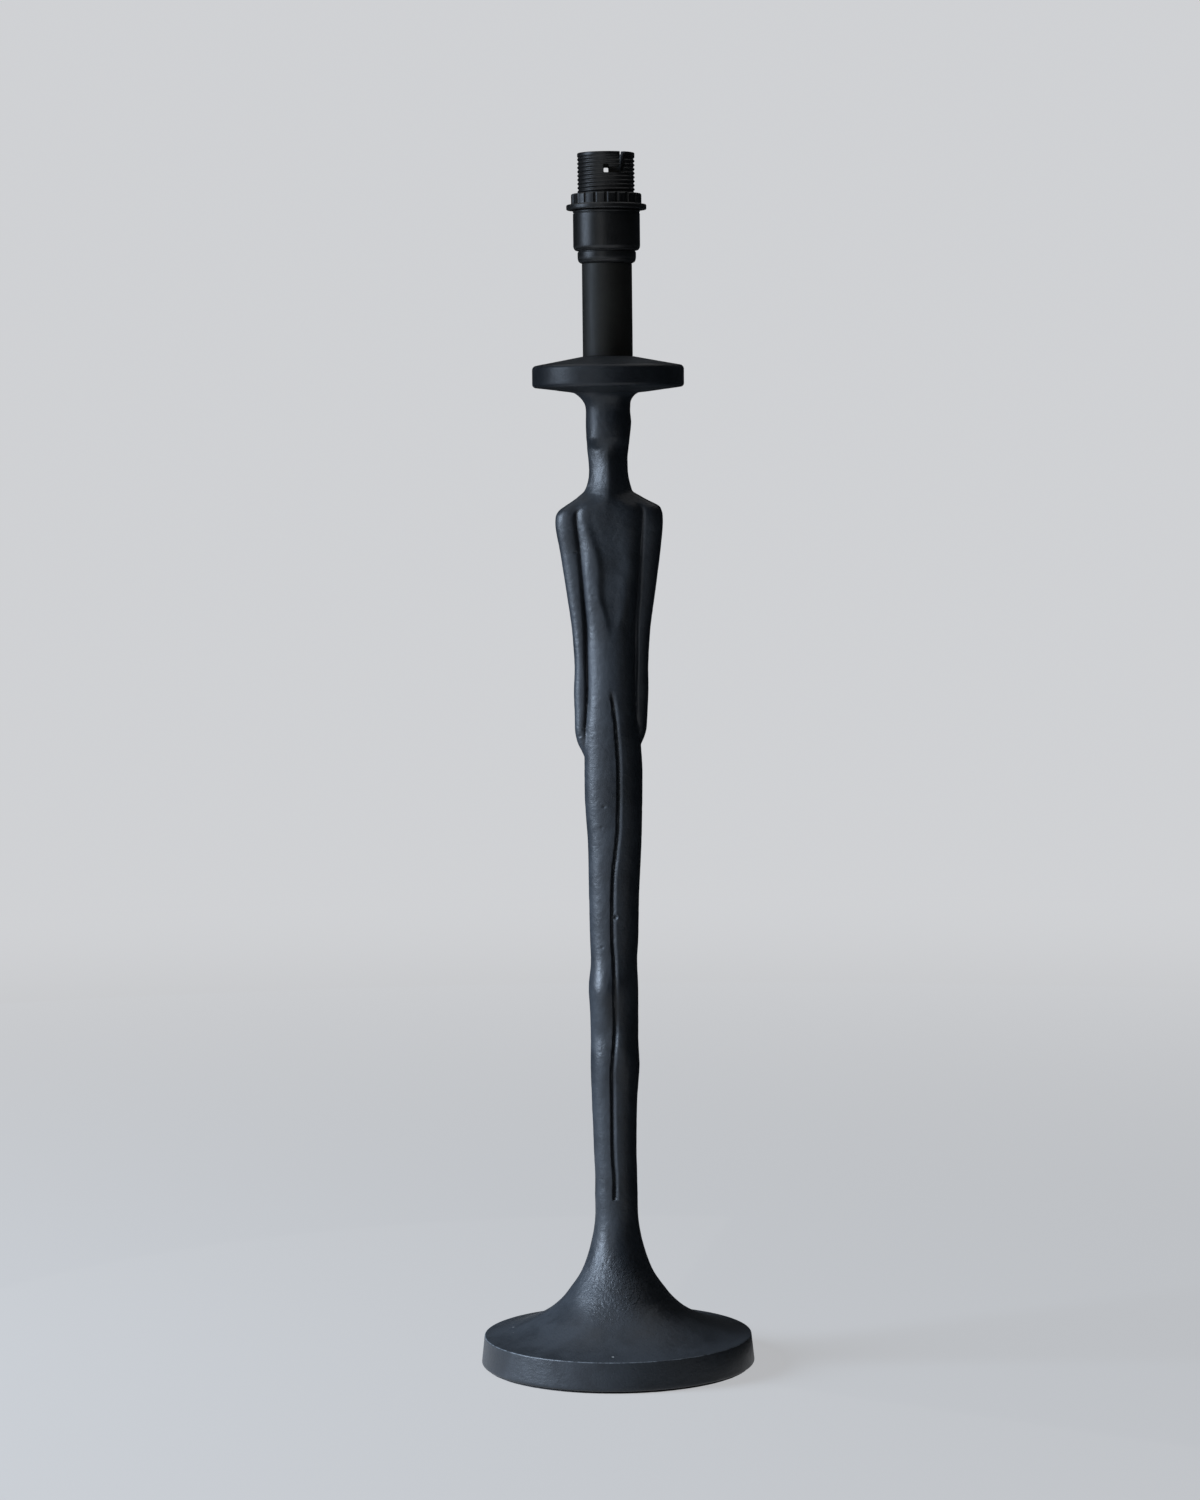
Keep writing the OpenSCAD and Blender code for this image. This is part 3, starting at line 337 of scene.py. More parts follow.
def brush_marks_group():
    """Fine marks drawn out along one way, for a height and a gloss change."""
    tree, ins, outs = shader_group(
        "brush_marks",
        [("Stretch", "Vector", (1.0, 1.0, 0.06)), ("Scale", "Float", 900.0)],
        [("Height", "Float")])
    drawn = vector_math(tree, "MULTIPLY", {0: object_coordinates(tree), 1: ins["Stretch"]})
    tree.links.new(noise(tree, drawn, ins["Scale"], 3, 0.6), outs["Height"])
    return tree


def edge_wear_group():
    """Broken-up wear where an edge mask is high."""
    tree, ins, outs = shader_group(
        "edge_wear",
        [("Edge", "Float", 0.0), ("Amount", "Float", 0.5), ("Break Scale", "Float", 300.0)],
        [("Mask", "Float")])
    broken = noise(tree, object_place(tree), ins["Break Scale"], 4, 0.65)
    reach = plus(tree, ins["Edge"], minus(tree, broken, 0.5))
    worn = span(tree, reach, 0.62, 0.95)
    tree.links.new(times(tree, worn, ins["Amount"], clamp=True), outs["Mask"])
    return tree


def dust_group():
    """Dust that lies on what faces up, with a few larger specks."""
    tree, ins, outs = shader_group(
        "dust",
        [("Film", "Float", 0.1), ("Specks", "Float", 0.6)],
        [("Mask", "Float")])
    coords = put(tree, "ShaderNodeTexCoord").outputs
    up = put(tree, "ShaderNodeSeparateXYZ", {0: coords["Normal"]}).outputs["Z"]
    facing = span(tree, up, 0.15, 0.95)
    film = times(tree, noise(tree, coords["Object"], 220.0, 5, 0.7), ins["Film"])
    cells = put(tree, "ShaderNodeTexVoronoi", {"Vector": coords["Object"], "Scale": 115.0})
    chance = put(tree, "ShaderNodeSeparateColor", {0: cells.outputs["Color"]}).outputs
    chosen = math_node(tree, "GREATER_THAN", chance[0], 0.6)
    ragged = times(tree, noise(tree, coords["Object"], 2600.0, 3, 0.6), 0.16)
    away = plus(tree, cells.outputs["Distance"], ragged)
    away = plus(tree, away, times(tree, chance[1], 0.045))
    speck = times(tree, span(tree, away, 0.135, 0.19, 1, 0), chosen)
    speck = times(tree, speck, ins["Specks"])
    total = math_node(tree, "MAXIMUM", film, speck)
    tree.links.new(times(tree, total, facing, clamp=True), outs["Mask"])
    return tree


GROUP_MAKERS = {
    "cast_grain": cast_grain_group, "brush_marks": brush_marks_group,
    "edge_wear": edge_wear_group, "dust": dust_group,
}


def use_group(tree, name, values=None):
    """Places a shared effect in a material, and builds it the first time."""
    group = bpy.data.node_groups.get(name) or GROUP_MAKERS[name]()
    return put(tree, "ShaderNodeGroup", values, node_tree=group).outputs


def new_material(name, **constants):
    """Makes a material with one Principled shader, whose constants are set on its own sockets."""
    material = bpy.data.materials.new(name)
    material.use_nodes = True
    tree = material.node_tree
    tree.nodes.clear()
    shader = put(tree, "ShaderNodeBsdfPrincipled")
    for key, value in constants.items():
        shader.inputs[key.replace("_", " ")].default_value = value
    tree.links.new(shader.outputs[0], put(tree, "ShaderNodeOutputMaterial").inputs[0])
    return material, tree, shader


def feed(tree, shader, **sockets):
    for key, value in sockets.items():
        tree.links.new(value, shader.inputs[key.replace("_", " ")])


def end_material(tree, shader):
    """Puts another shader at a material's end."""
    end = next(node for node in tree.nodes if node.type == "OUTPUT_MATERIAL")
    tree.links.new(shader, end.inputs[0])


def raise_surface(tree, shader, height, strength, distance):
    """Feeds a height to the shader as bump. The distance is in mm."""
    bump = put(tree, "ShaderNodeBump", {
        "Height": height, "Strength": strength, "Distance": distance * MM})
    tree.links.new(bump.outputs[0], shader.inputs["Normal"])


# Materials

def casting_paint(settings):
    """Matt charcoal paint over a rough casting, worn on its edges and dusty on top, with painted
    shade in its folds.
    """
    material, tree, shader = new_material("black_casting_paint", IOR=1.5, Specular_IOR_Level=0.4)
    grain = use_group(tree, "cast_grain", {
        "Grain Scale": 1200.0, "Lump Scale": 380.0, "Pit Amount": 0.6})
    marks = use_group(tree, "brush_marks", {"Stretch": (0.3, 0.3, 1.0), "Scale": 900.0})
    base = np.array(settings.paint)
    tone = blend_colour(tree, grain["Mottle"], colour(base * 0.8), colour(base * 1.25))
    # Painted shade: the paint is darkened in the folds and in the gap between the legs, where shade
    # falls
    hollow = span(tree, attribute(tree, "hollow"), 0.2, 0.9, 0.0, 0.35)
    tone = blend_colour(tree, hollow, tone, colour(base * 0.5))
    wear = use_group(tree, "edge_wear", {
        "Edge": attribute(tree, "edge"), "Amount": 0.8, "Break Scale": 260.0})
    tone = blend_colour(tree, wear["Mask"], tone, colour(settings.worn))
    dust = use_group(tree, "dust", {"Film": 0.045, "Specks": 0.95})
    tone = blend_colour(tree, dust["Mask"], tone, colour(settings.dust))
    rough = span(tree, grain["Mottle"], 0.0, 1.0, 0.36, 0.46)
    rough = plus(tree, rough, times(tree, dust["Mask"], 0.3), clamp=True)
    feed(tree, shader, Base_Color=tone, Roughness=rough)
    height = plus(tree, grain["Height"], times(tree, marks["Height"], 0.5))
    wrinkle = noise(tree, object_place(tree, (1.0, 1.0, 0.75)), 620.0, 3, 0.55, 1.2)
    wrinkle = times(tree, wrinkle, times(tree, attribute(tree, "ripple"), 3.4))
    raise_surface(tree, shader, plus(tree, height, wrinkle), 1.0, 0.135)
    return material


def satin_black(name, base, roughness, stretch=(1.0, 1.0, 0.05), wear=0.3, specular=0.5):
    """Smooth satin black paint with faint drawn marks."""
    material, tree, shader = new_material(name, IOR=1.5, Specular_IOR_Level=specular)
    base = np.array(base)
    marks = use_group(tree, "brush_marks", {"Stretch": stretch, "Scale": 700.0})
    slow = noise(tree, object_place(tree), 70.0, 4, 0.6)
    tone = mottled(tree, slow, colour(base * 0.82), colour(base * 1.2))
    worn = use_group(tree, "edge_wear", {
        "Edge": attribute(tree, "edge"), "Amount": wear, "Break Scale": 420.0})
    tone = blend_colour(tree, worn["Mask"], tone, colour(base * 5))
    dust = use_group(tree, "dust", {"Film": 0.03, "Specks": 0.3})
    tone = blend_colour(tree, dust["Mask"], tone, (0.3, 0.29, 0.27, 1.0))
    rough = span(tree, marks["Height"], 0.3, 0.7, roughness - 0.04, roughness + 0.05)
    feed(tree, shader, Base_Color=tone, Roughness=rough)
    raise_surface(tree, shader, plus(tree, marks["Height"], slow), 0.3, 0.04)
    return material


def plated_metal(name, base, roughness, stretch=(1.0, 1.0, 0.1)):
    """Bright metal with fine tool marks and a dulled bloom."""
    material, tree, shader = new_material(name, Metallic=1.0)
    base = np.array(base)
    marks = use_group(tree, "brush_marks", {"Stretch": stretch, "Scale": 1600.0})
    bloom = noise(tree, object_place(tree), 240.0, 4, 0.6)
    feed(
        tree, shader,
        Base_Color=mottled(tree, bloom, colour(base), colour(base * 0.72), 0.35),
        Roughness=span(tree, marks["Height"], 0.3, 0.7, roughness - 0.07, roughness + 0.1))
    raise_surface(tree, shader, marks["Height"], 0.35, 0.03)
    return material


def moulded(name, base, roughness, scatter=0.0):
    """Plain moulding with a faint grain."""
    material, tree, shader = new_material(name, Subsurface_Weight=scatter)
    base = np.array(base)
    slow = noise(tree, object_place(tree), 160.0, 4, 0.6)
    fine = noise(tree, object_place(tree), 1900.0, 2, 0.5)
    tone = mottled(tree, slow, colour(base * 0.88), colour(np.minimum(base * 1.08, 1)))
    rough = span(tree, slow, 0.3, 0.7, roughness - 0.05, roughness + 0.05)
    feed(tree, shader, Base_Color=tone, Roughness=rough)
    raise_surface(tree, shader, fine, 0.3, 0.03)
    return material


def steatite():
    """Unglazed pressed ceramic with a fine sandy grain."""
    material, tree, shader = new_material("steatite_ceramic", Specular_IOR_Level=0.4)
    fine = noise(tree, object_place(tree), 2600.0, 4, 0.7)
    slow = noise(tree, object_place(tree), 110.0, 5, 0.6)
    tone = mottled(tree, slow, (0.74, 0.71, 0.64, 1), (0.82, 0.80, 0.74, 1), 0.3, 0.72)
    speck = span(tree, noise(tree, object_place(tree), 900.0, 2, 0.5), 0.68, 0.76)
    tone = blend_colour(tree, times(tree, speck, 0.5), tone, (0.42, 0.36, 0.28, 1))
    feed(tree, shader, Base_Color=tone, Roughness=span(tree, fine, 0.3, 0.7, 0.55, 0.72))
    raise_surface(tree, shader, fine, 0.4, 0.05)
    return material


def earth_insulation():
    """Green insulation with a yellow stripe along it."""
    material, tree, shader = new_material("earth_insulation", Roughness=0.42)
    place = put(tree, "ShaderNodeSeparateXYZ", {0: object_coordinates(tree)}).outputs
    stripe = span(tree, math_node(tree, "ABSOLUTE", place["X"]), 0.45 * MM, 0.6 * MM, 1.0, 0.0)
    slow = noise(tree, object_place(tree), 500.0)
    tone = mottled(tree, slow, (0.03, 0.21, 0.045, 1), (0.04, 0.25, 0.06, 1))
    feed(tree, shader, Base_Color=blend_colour(tree, stripe, tone, (0.78, 0.6, 0.04, 1)))
    raise_surface(tree, shader, slow, 0.2, 0.03)
    return material


def felt_cloth():
    """Pressed black felt: matted fibres that catch pale lint."""
    material, tree, shader = new_material(
        "black_felt_cloth", Sheen_Weight=0.35, Sheen_Roughness=0.5, Specular_IOR_Level=0.15)
    fibres = noise(tree, object_place(tree, (1, 1, 0.35)), 2400.0, 5, 0.75, 1.5)
    matted = noise(tree, object_place(tree), 330.0, 5, 0.7, 0.8)
    tone = mottled(tree, matted, (0.010, 0.010, 0.011, 1), (0.026, 0.026, 0.028, 1))
    lint = span(tree, fibres, 0.66, 0.8, 0.0, 0.35)
    feed(
        tree, shader,
        Base_Color=blend_colour(tree, lint, tone, (0.16, 0.15, 0.14, 1)),
        Roughness=span(tree, fibres, 0.3, 0.7, 0.88, 0.98))
    raise_surface(tree, shader, plus(tree, fibres, matted), 0.9, 0.2)
    return material


def rubber():
    """Matt black rubber with a dry bloom."""
    material, tree, shader = new_material("black_rubber_matt", Specular_IOR_Level=0.35)
    slow = noise(tree, object_place(tree), 300.0, 5, 0.65)
    tone = mottled(tree, slow, grey(0.014), (0.032, 0.031, 0.03, 1), 0.35, 0.75)
    feed(tree, shader, Base_Color=tone, Roughness=span(tree, slow, 0.3, 0.7, 0.62, 0.8))
    raise_surface(tree, shader, slow, 0.3, 0.06)
    return material


def dress_nodes(names, material):
    """Gives CAD nodes that stay in view a better material."""
    for name in names:
        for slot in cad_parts[name].material_slots:
            slot.material = material


# Mesh helpers

def table_at(rows, height, column):
    """Value of a table's column at a height, on a smooth curve through its rows."""
    rows = np.asarray(rows, float)
    x, y = rows[:, 0], rows[:, column]
    i = np.clip(np.searchsorted(x, height, side="right") - 1, 0, len(x) - 2)
    width = x[i + 1] - x[i]
    u = np.clip((height - x[i]) / width, 0, 1)
    low, high = np.maximum(np.arange(len(x)) - 1, 0), np.minimum(np.arange(len(x)) + 1, len(x) - 1)
    steep = (y[high] - y[low]) / (x[high] - x[low])
    return (
        (2 * u ** 3 - 3 * u ** 2 + 1) * y[i] + (u ** 3 - 2 * u ** 2 + u) * width * steep[i]
        + (3 * u ** 2 - 2 * u ** 3) * y[i + 1] + (u ** 3 - u ** 2) * width * steep[i + 1])


def within(rows, height):
    return rows[0][0] <= height <= rows[-1][0]


def ease(u):
    """Goes softly from 0 to 1 as its value does."""
    v = np.clip(u, 0, 1)
    return v * v * (3 - 2 * v)


def between(h, start, rise, end, fall):
    """1 between two heights and 0 outside them, with a soft rise and fall inside."""
    return ease((h - start) / rise) * ease((end - h) / fall)


def furrow(x, half_width):
    """Soft furrow or swelling of height 1 across a place."""
    return np.exp(-x * x / (2 * half_width * half_width))


def notch(x):
    """Lopsided notch of depth 1, steep on its left side."""
    u = np.minimum(np.abs(x) / np.where(x < 0, 0.9, 2.5), 1)
    return (1 - u) ** 1.3


def lobe(x, middle, half_width, high, power):
    """Height of a rounded form over a place: an ellipse at power 2, squarer above it."""
    u = np.minimum(np.abs((x - middle) / half_width), 1)
    return high * (1 - u ** power) ** (1 / power)


def smooth_curve(points, steps):
    """Points of a smooth curve through a list of points."""
    p = np.asarray(points, float)
    found = []
    for i in range(len(p) - 1):
        a, b, c, d = p[max(i - 1, 0)], p[i], p[i + 1], p[min(i + 2, len(p) - 1)]
        for k in range(steps):
            u = k / steps
            found.append(
                b + (c - a) * u / 2 + (2 * a - 5 * b + 4 * c - d) * u ** 2 / 2
                + (3 * b - a - 3 * c + d) * u ** 3 / 2)
    return np.array(found + [p[-1]])


def arc(x, y, radius, start, end, steps=6):
    return [
        (x + radius * math.cos(math.radians(a)), y + radius * math.sin(math.radians(a)))
        for a in np.linspace(start, end, steps + 1)]


def mesh_object(name, points, faces, attributes=None, smooth=True):
    """Makes a mesh object from points in metres, with any float attributes on its points."""
    mesh = bpy.data.meshes.new(name)
    mesh.from_pydata([tuple(p) for p in points], [], faces)
    for key, values in (attributes or {}).items():
        layer = mesh.attributes.new(key, "FLOAT", "POINT")
        layer.data.foreach_set("value", np.asarray(values, np.float32))
    mesh.validate()
    if smooth:
        mesh.polygons.foreach_set("use_smooth", [True] * len(mesh.polygons))
    piece = bpy.data.objects.new(name, mesh)
    bpy.context.scene.collection.objects.link(piece)
    return piece


def turn_outward(piece):
    """Turns all faces of a closed mesh outward."""
    tool = bmesh.new()
    tool.from_mesh(piece.data)
    bmesh.ops.recalc_face_normals(tool, faces=tool.faces)
    tool.to_mesh(piece.data)
    tool.free()


def turned(name, profile, sides, edge=None):
    """Turns a profile of (radius, height) in mm round Z. An edge list marks worn corners.

    The profile is closed by itself, or by a pole at each end where it starts on the axis.
    """
    poles = profile[0][0] == 0
    rows = profile[1:-1] if poles else profile
    count = len(rows)
    angles = np.arange(sides) * 2 * math.pi / sides
    points = [(r * math.cos(a) * MM, r * math.sin(a) * MM, z * MM) for r, z in rows for a in angles]
    faces = [
        (j * sides + i, j * sides + (i + 1) % sides, (j + 1) % count * sides + (i + 1) % sides,
         (j + 1) % count * sides + i)
        for j in range(count - 1 if poles else count) for i in range(sides)]
    marks = list(np.repeat(edge if edge is not None else np.zeros(count), sides))
    if poles:
        low, high = len(points), len(points) + 1
        points += [(0, 0, profile[0][1] * MM), (0, 0, profile[-1][1] * MM)]
        marks += [0, 0]
        last = (count - 1) * sides
        for i in range(sides):
            k = (i + 1) % sides
            faces += [(low, k, i), (high, last + i, last + k)]
    return mesh_object(name, points, faces, {"edge": marks})


def rounded_profile(corners, radius, steps=3):
    """Rounds each corner of a closed outline, and marks the rounds as edges."""
    points, marks = [], []
    count = len(corners)
    for k, (r, z, *own) in enumerate(corners):
        here = np.array((r, z), float)
        before = np.array(corners[k - 1][:2], float)
        after = np.array(corners[(k + 1) % count][:2], float)
        size = own[0] if own else radius
        reach = min(size, 0.45 * np.linalg.norm(before - here), 0.45 * np.linalg.norm(after - here))
        a = here + (before - here) / np.linalg.norm(before - here) * reach
        b = here + (after - here) / np.linalg.norm(after - here) * reach
        for u in np.linspace(0, 1, steps + 1):
            points.append(tuple((1 - u) ** 2 * a + 2 * u * (1 - u) * here + u ** 2 * b))
            marks.append(1.0 if 0 < u < 1 else 0.55)
    return points, marks


def dense_profile(points, marks, longest):
    """Adds points along the long straights of a closed outline."""
    found, edge = [], []
    for k in range(len(points)):
        a, b = np.array(points[k]), np.array(points[(k + 1) % len(points)])
        steps = max(1, math.ceil(np.linalg.norm(b - a) / longest))
        for s in range(steps):
            found.append(tuple(a + (b - a) * s / steps))
            edge.append(marks[k] if s == 0 else 0.0)
    return found, edge


def lathe(name, corners, radius, steps, sides, longest=None):
    """Turns an outline round Z, with rounded corners and with points along its long straights."""
    outline, marks = rounded_profile(corners, radius, steps)
    if longest:
        outline, marks = dense_profile(outline, marks, longest)
    return turned(name, outline, sides, marks)


def apply_modifiers(piece):
    """Turns a piece's modifiers into plain mesh."""
    bpy.context.view_layer.update()
    depsgraph = bpy.context.evaluated_depsgraph_get()
    mesh = bpy.data.meshes.new_from_object(piece.evaluated_get(depsgraph))
    piece.modifiers.clear()
    old, piece.data = piece.data, mesh
    bpy.data.meshes.remove(old)
    return mesh


def combine(piece, other, operation):
    """Adds one closed mesh to another or takes it out of it, and removes it."""
    modifier = piece.modifiers.new("combine", "BOOLEAN")
    modifier.operation = operation
    modifier.solver = "EXACT"
    modifier.object = other
    apply_modifiers(piece)
    bpy.data.objects.remove(other, do_unlink=True)


def settle(piece, material, body, *replaced, smooth_angle=35):
    """Turns modifiers into plain mesh, closes the shading, and hands the piece to the frame."""
    mesh = apply_modifiers(piece)
    mesh.name = piece.name
    mesh.materials.clear()
    mesh.materials.append(material)
    mesh.polygons.foreach_set("material_index", [0] * len(mesh.polygons))
    mesh.set_sharp_from_angle(angle=math.radians(smooth_angle))
    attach(piece, body)
    if replaced:
        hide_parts(*replaced)
    return piece


def geometry_tree(name, inputs):
    geometry = [("Geometry", "Geometry")]
    return empty_tree(name, "GeometryNodeTree", geometry + inputs, geometry)


def end_tree(tree, geometry, material):
    """Ends a tree in Realize Instances and Set Material."""
    real = put(tree, "GeometryNodeRealizeInstances", {"Geometry": geometry}).outputs[0]
    dressed = put(
        tree, "GeometryNodeSetMaterial", {"Geometry": real, "Material": material}).outputs[0]
    tree.links.new(dressed, put(tree, "NodeGroupOutput").inputs[0])


def shifted(tree, geometry, offset):
    values = {"Geometry": geometry, "Offset": offset}
    return put(tree, "GeometryNodeSetPosition", values).outputs[0]


def run_tree(piece, tree, values):
    """Puts a tree on a piece and sets its inputs by socket identifier."""
    modifier = piece.modifiers.new(tree.name, "NODES")
    modifier.node_group = tree
    for item in tree.interface.items_tree:
        if item.in_out == "INPUT" and item.name in values:
            modifier[item.identifier] = values[item.name]


# The casting

def squareness(h):
    """How square the body is at a height: flat at the chest, narrow at the neck."""
    neck = 0.75 * between(h, 348, 8, 383, 5)
    return 2.2 + 0.9 * between(h, 285, 35, 354, 8) - neck


def mass(h, x, column):
    """Depth of the body, arms and what joins them at a place, to the front or the back."""
    left, right = table_at(BODY, h, 1), table_at(BODY, h, 2)
    body = lobe(x, (right - left) / 2, (right + left) / 2, table_at(BODY, h, column), squareness(h))
    if not within(ARMS, h):
        return body
    wide = 2 * table_at(ARMS, h, 3)
    crest = np.where(x < 0, table_at(ARMS, h, 1), table_at(ARMS, h, 2)) - 0.76 * wide
    side = np.where(np.abs(x) < crest, 0.24, 0.76) * wide
    arm = lobe(np.abs(x), crest, side, table_at(ARMS, h, 4), 2.2)
    a, b = reach(h)
    slab = lobe(x, (b - a) / 2, (b + a) / 2, 0.95 * table_at(ARMS, h, 4), 3.5)
    return (body ** 6 + arm ** 6 + slab ** 6) ** (1 / 6)


def hollows(h, x, gap_depth):
    """Depths hollowed out of the front and the back, and how deep in a fold each place lies."""
    fold = np.zeros_like(x)
    if within(ARM_FOLD, h):
        away = np.abs(x) - table_at(ARM_FOLD, h, 1)
        width = 0.8 + np.where(away < 0, 2.6, 0.9) * ease((h - 315) / 20)
        fold = table_at(ARM_FOLD, h, 2) * furrow(away, width)
    front = fold.copy()
    gap = np.zeros_like(x)
    if within(LEG_GAP, h):
        gap = table_at(LEG_GAP, h, 2) * notch(x - table_at(LEG_GAP, h, 1))
        front = front + gap_depth * gap
    if within(CHEST, h):
        u = (x - table_at(CHEST, h, 1)) / table_at(CHEST, h, 2)
        rise = ease(np.where(u < 0, (-u - 0.6) * 2.5, 0.95 * u))
        front = front + table_at(CHEST, h, 3) * (1 - rise)
    for up, across, high, tall, half in SWELLS:
        front = front - high * furrow(h - up, tall) * furrow(x - across, half)
    gap_back = between(h, 6, 14, 232, 10) * furrow(x, 1.15)
    spine = 1.1 * between(h, 250, 30, 342, 16) * furrow(x, 2.2)
    return front, 1.7 * gap_back + fold + spine, np.maximum(fold, gap), np.maximum(fold, gap_back)


def reach(h):
    """Reach of the figure to the left and right, arms and body together."""
    left, right = table_at(BODY, h, 1), table_at(BODY, h, 2)
    if within(ARMS, h):
        left, right = max(left, table_at(ARMS, h, 1)), max(right, table_at(ARMS, h, 2))
    return left, right


def ring_angles(h, count):
    """Angles round a ring, drawn closer at the gap between the legs and at the folds."""
    left, right = reach(h)
    half_turn = 720
    fine = np.linspace(0, 2 * math.pi, 2 * half_turn + 1)
    half, deep = (left + right) / 2, table_at(BODY, h, 3)
    x = (right - left) / 2 + half * np.cos(fine)
    pace = np.hypot(half * np.sin(fine), deep * np.cos(fine)) / max(half, deep) + 0.25
    at_gap = between(h, -20, 18, 264, 18) * (np.sin(fine) < 0)
    pace = pace + 1.9 * at_gap * furrow(x - table_at(LEG_GAP, h, 1) - 0.4, 2)
    at_fold = between(h, 224, 16, 353, 10)
    pace = pace + 1.1 * at_fold * furrow(np.abs(x) - table_at(ARM_FOLD, h, 1), 2)
    way = np.concatenate([[0], np.cumsum((pace[1:] + pace[:-1]) / 2)])
    middle = way[half_turn]
    marks = np.arange(count) / count * 2
    marks = np.where(marks < 1, marks * middle, middle + (marks - 1) * (way[-1] - middle))
    return np.interp(marks, way, fine)


def figure_ring(h, a, gap_depth):
    """Points of the figure at a height above the ankles, in mm, and how hollow each one is."""
    left, right = reach(h)
    x = (right - left) / 2 + (right + left) / 2 * np.cos(a)
    front, back, deep_front, deep_back = hollows(h, x, gap_depth)
    behind = np.sin(a) > 0
    y = np.where(
        behind, np.maximum(mass(h, x, 4) - back, 0), -np.maximum(mass(h, x, 3) - front, 0))
    y = np.where(np.abs(np.sin(a)) < 1e-9, 0, y)
    return np.stack([x, y], 1), np.where(behind, deep_back, deep_front)


def grown(a, b):
    """The larger of two sizes, blended softly where they are close."""
    return (a + b + np.sqrt((a - b) ** 2 + 0.64)) / 2


def ring_heights(start, end, fine):
    """Heights from start to end, spaced by a step that a rule gives for each height."""
    found = [start]
    while found[-1] < end:
        found.append(found[-1] + fine(found[-1]))
    found[-1] = end
    return found


def stitch(first, count_a, second, count_b):
    """Faces between two rings, where the lower has as many points or twice as many."""
    if count_a == count_b:
        return [
            (first + i, first + (i + 1) % count_a, second + (i + 1) % count_a, second + i)
            for i in range(count_a)]
    faces = []
    for i in range(count_b):
        a, b, c = first + 2 * i, first + 2 * i + 1, first + (2 * i + 2) % count_a
        d, e = second + i, second + (i + 1) % count_b
        faces += [(a, b, d), (b, e, d), (b, c, e)]
    return faces


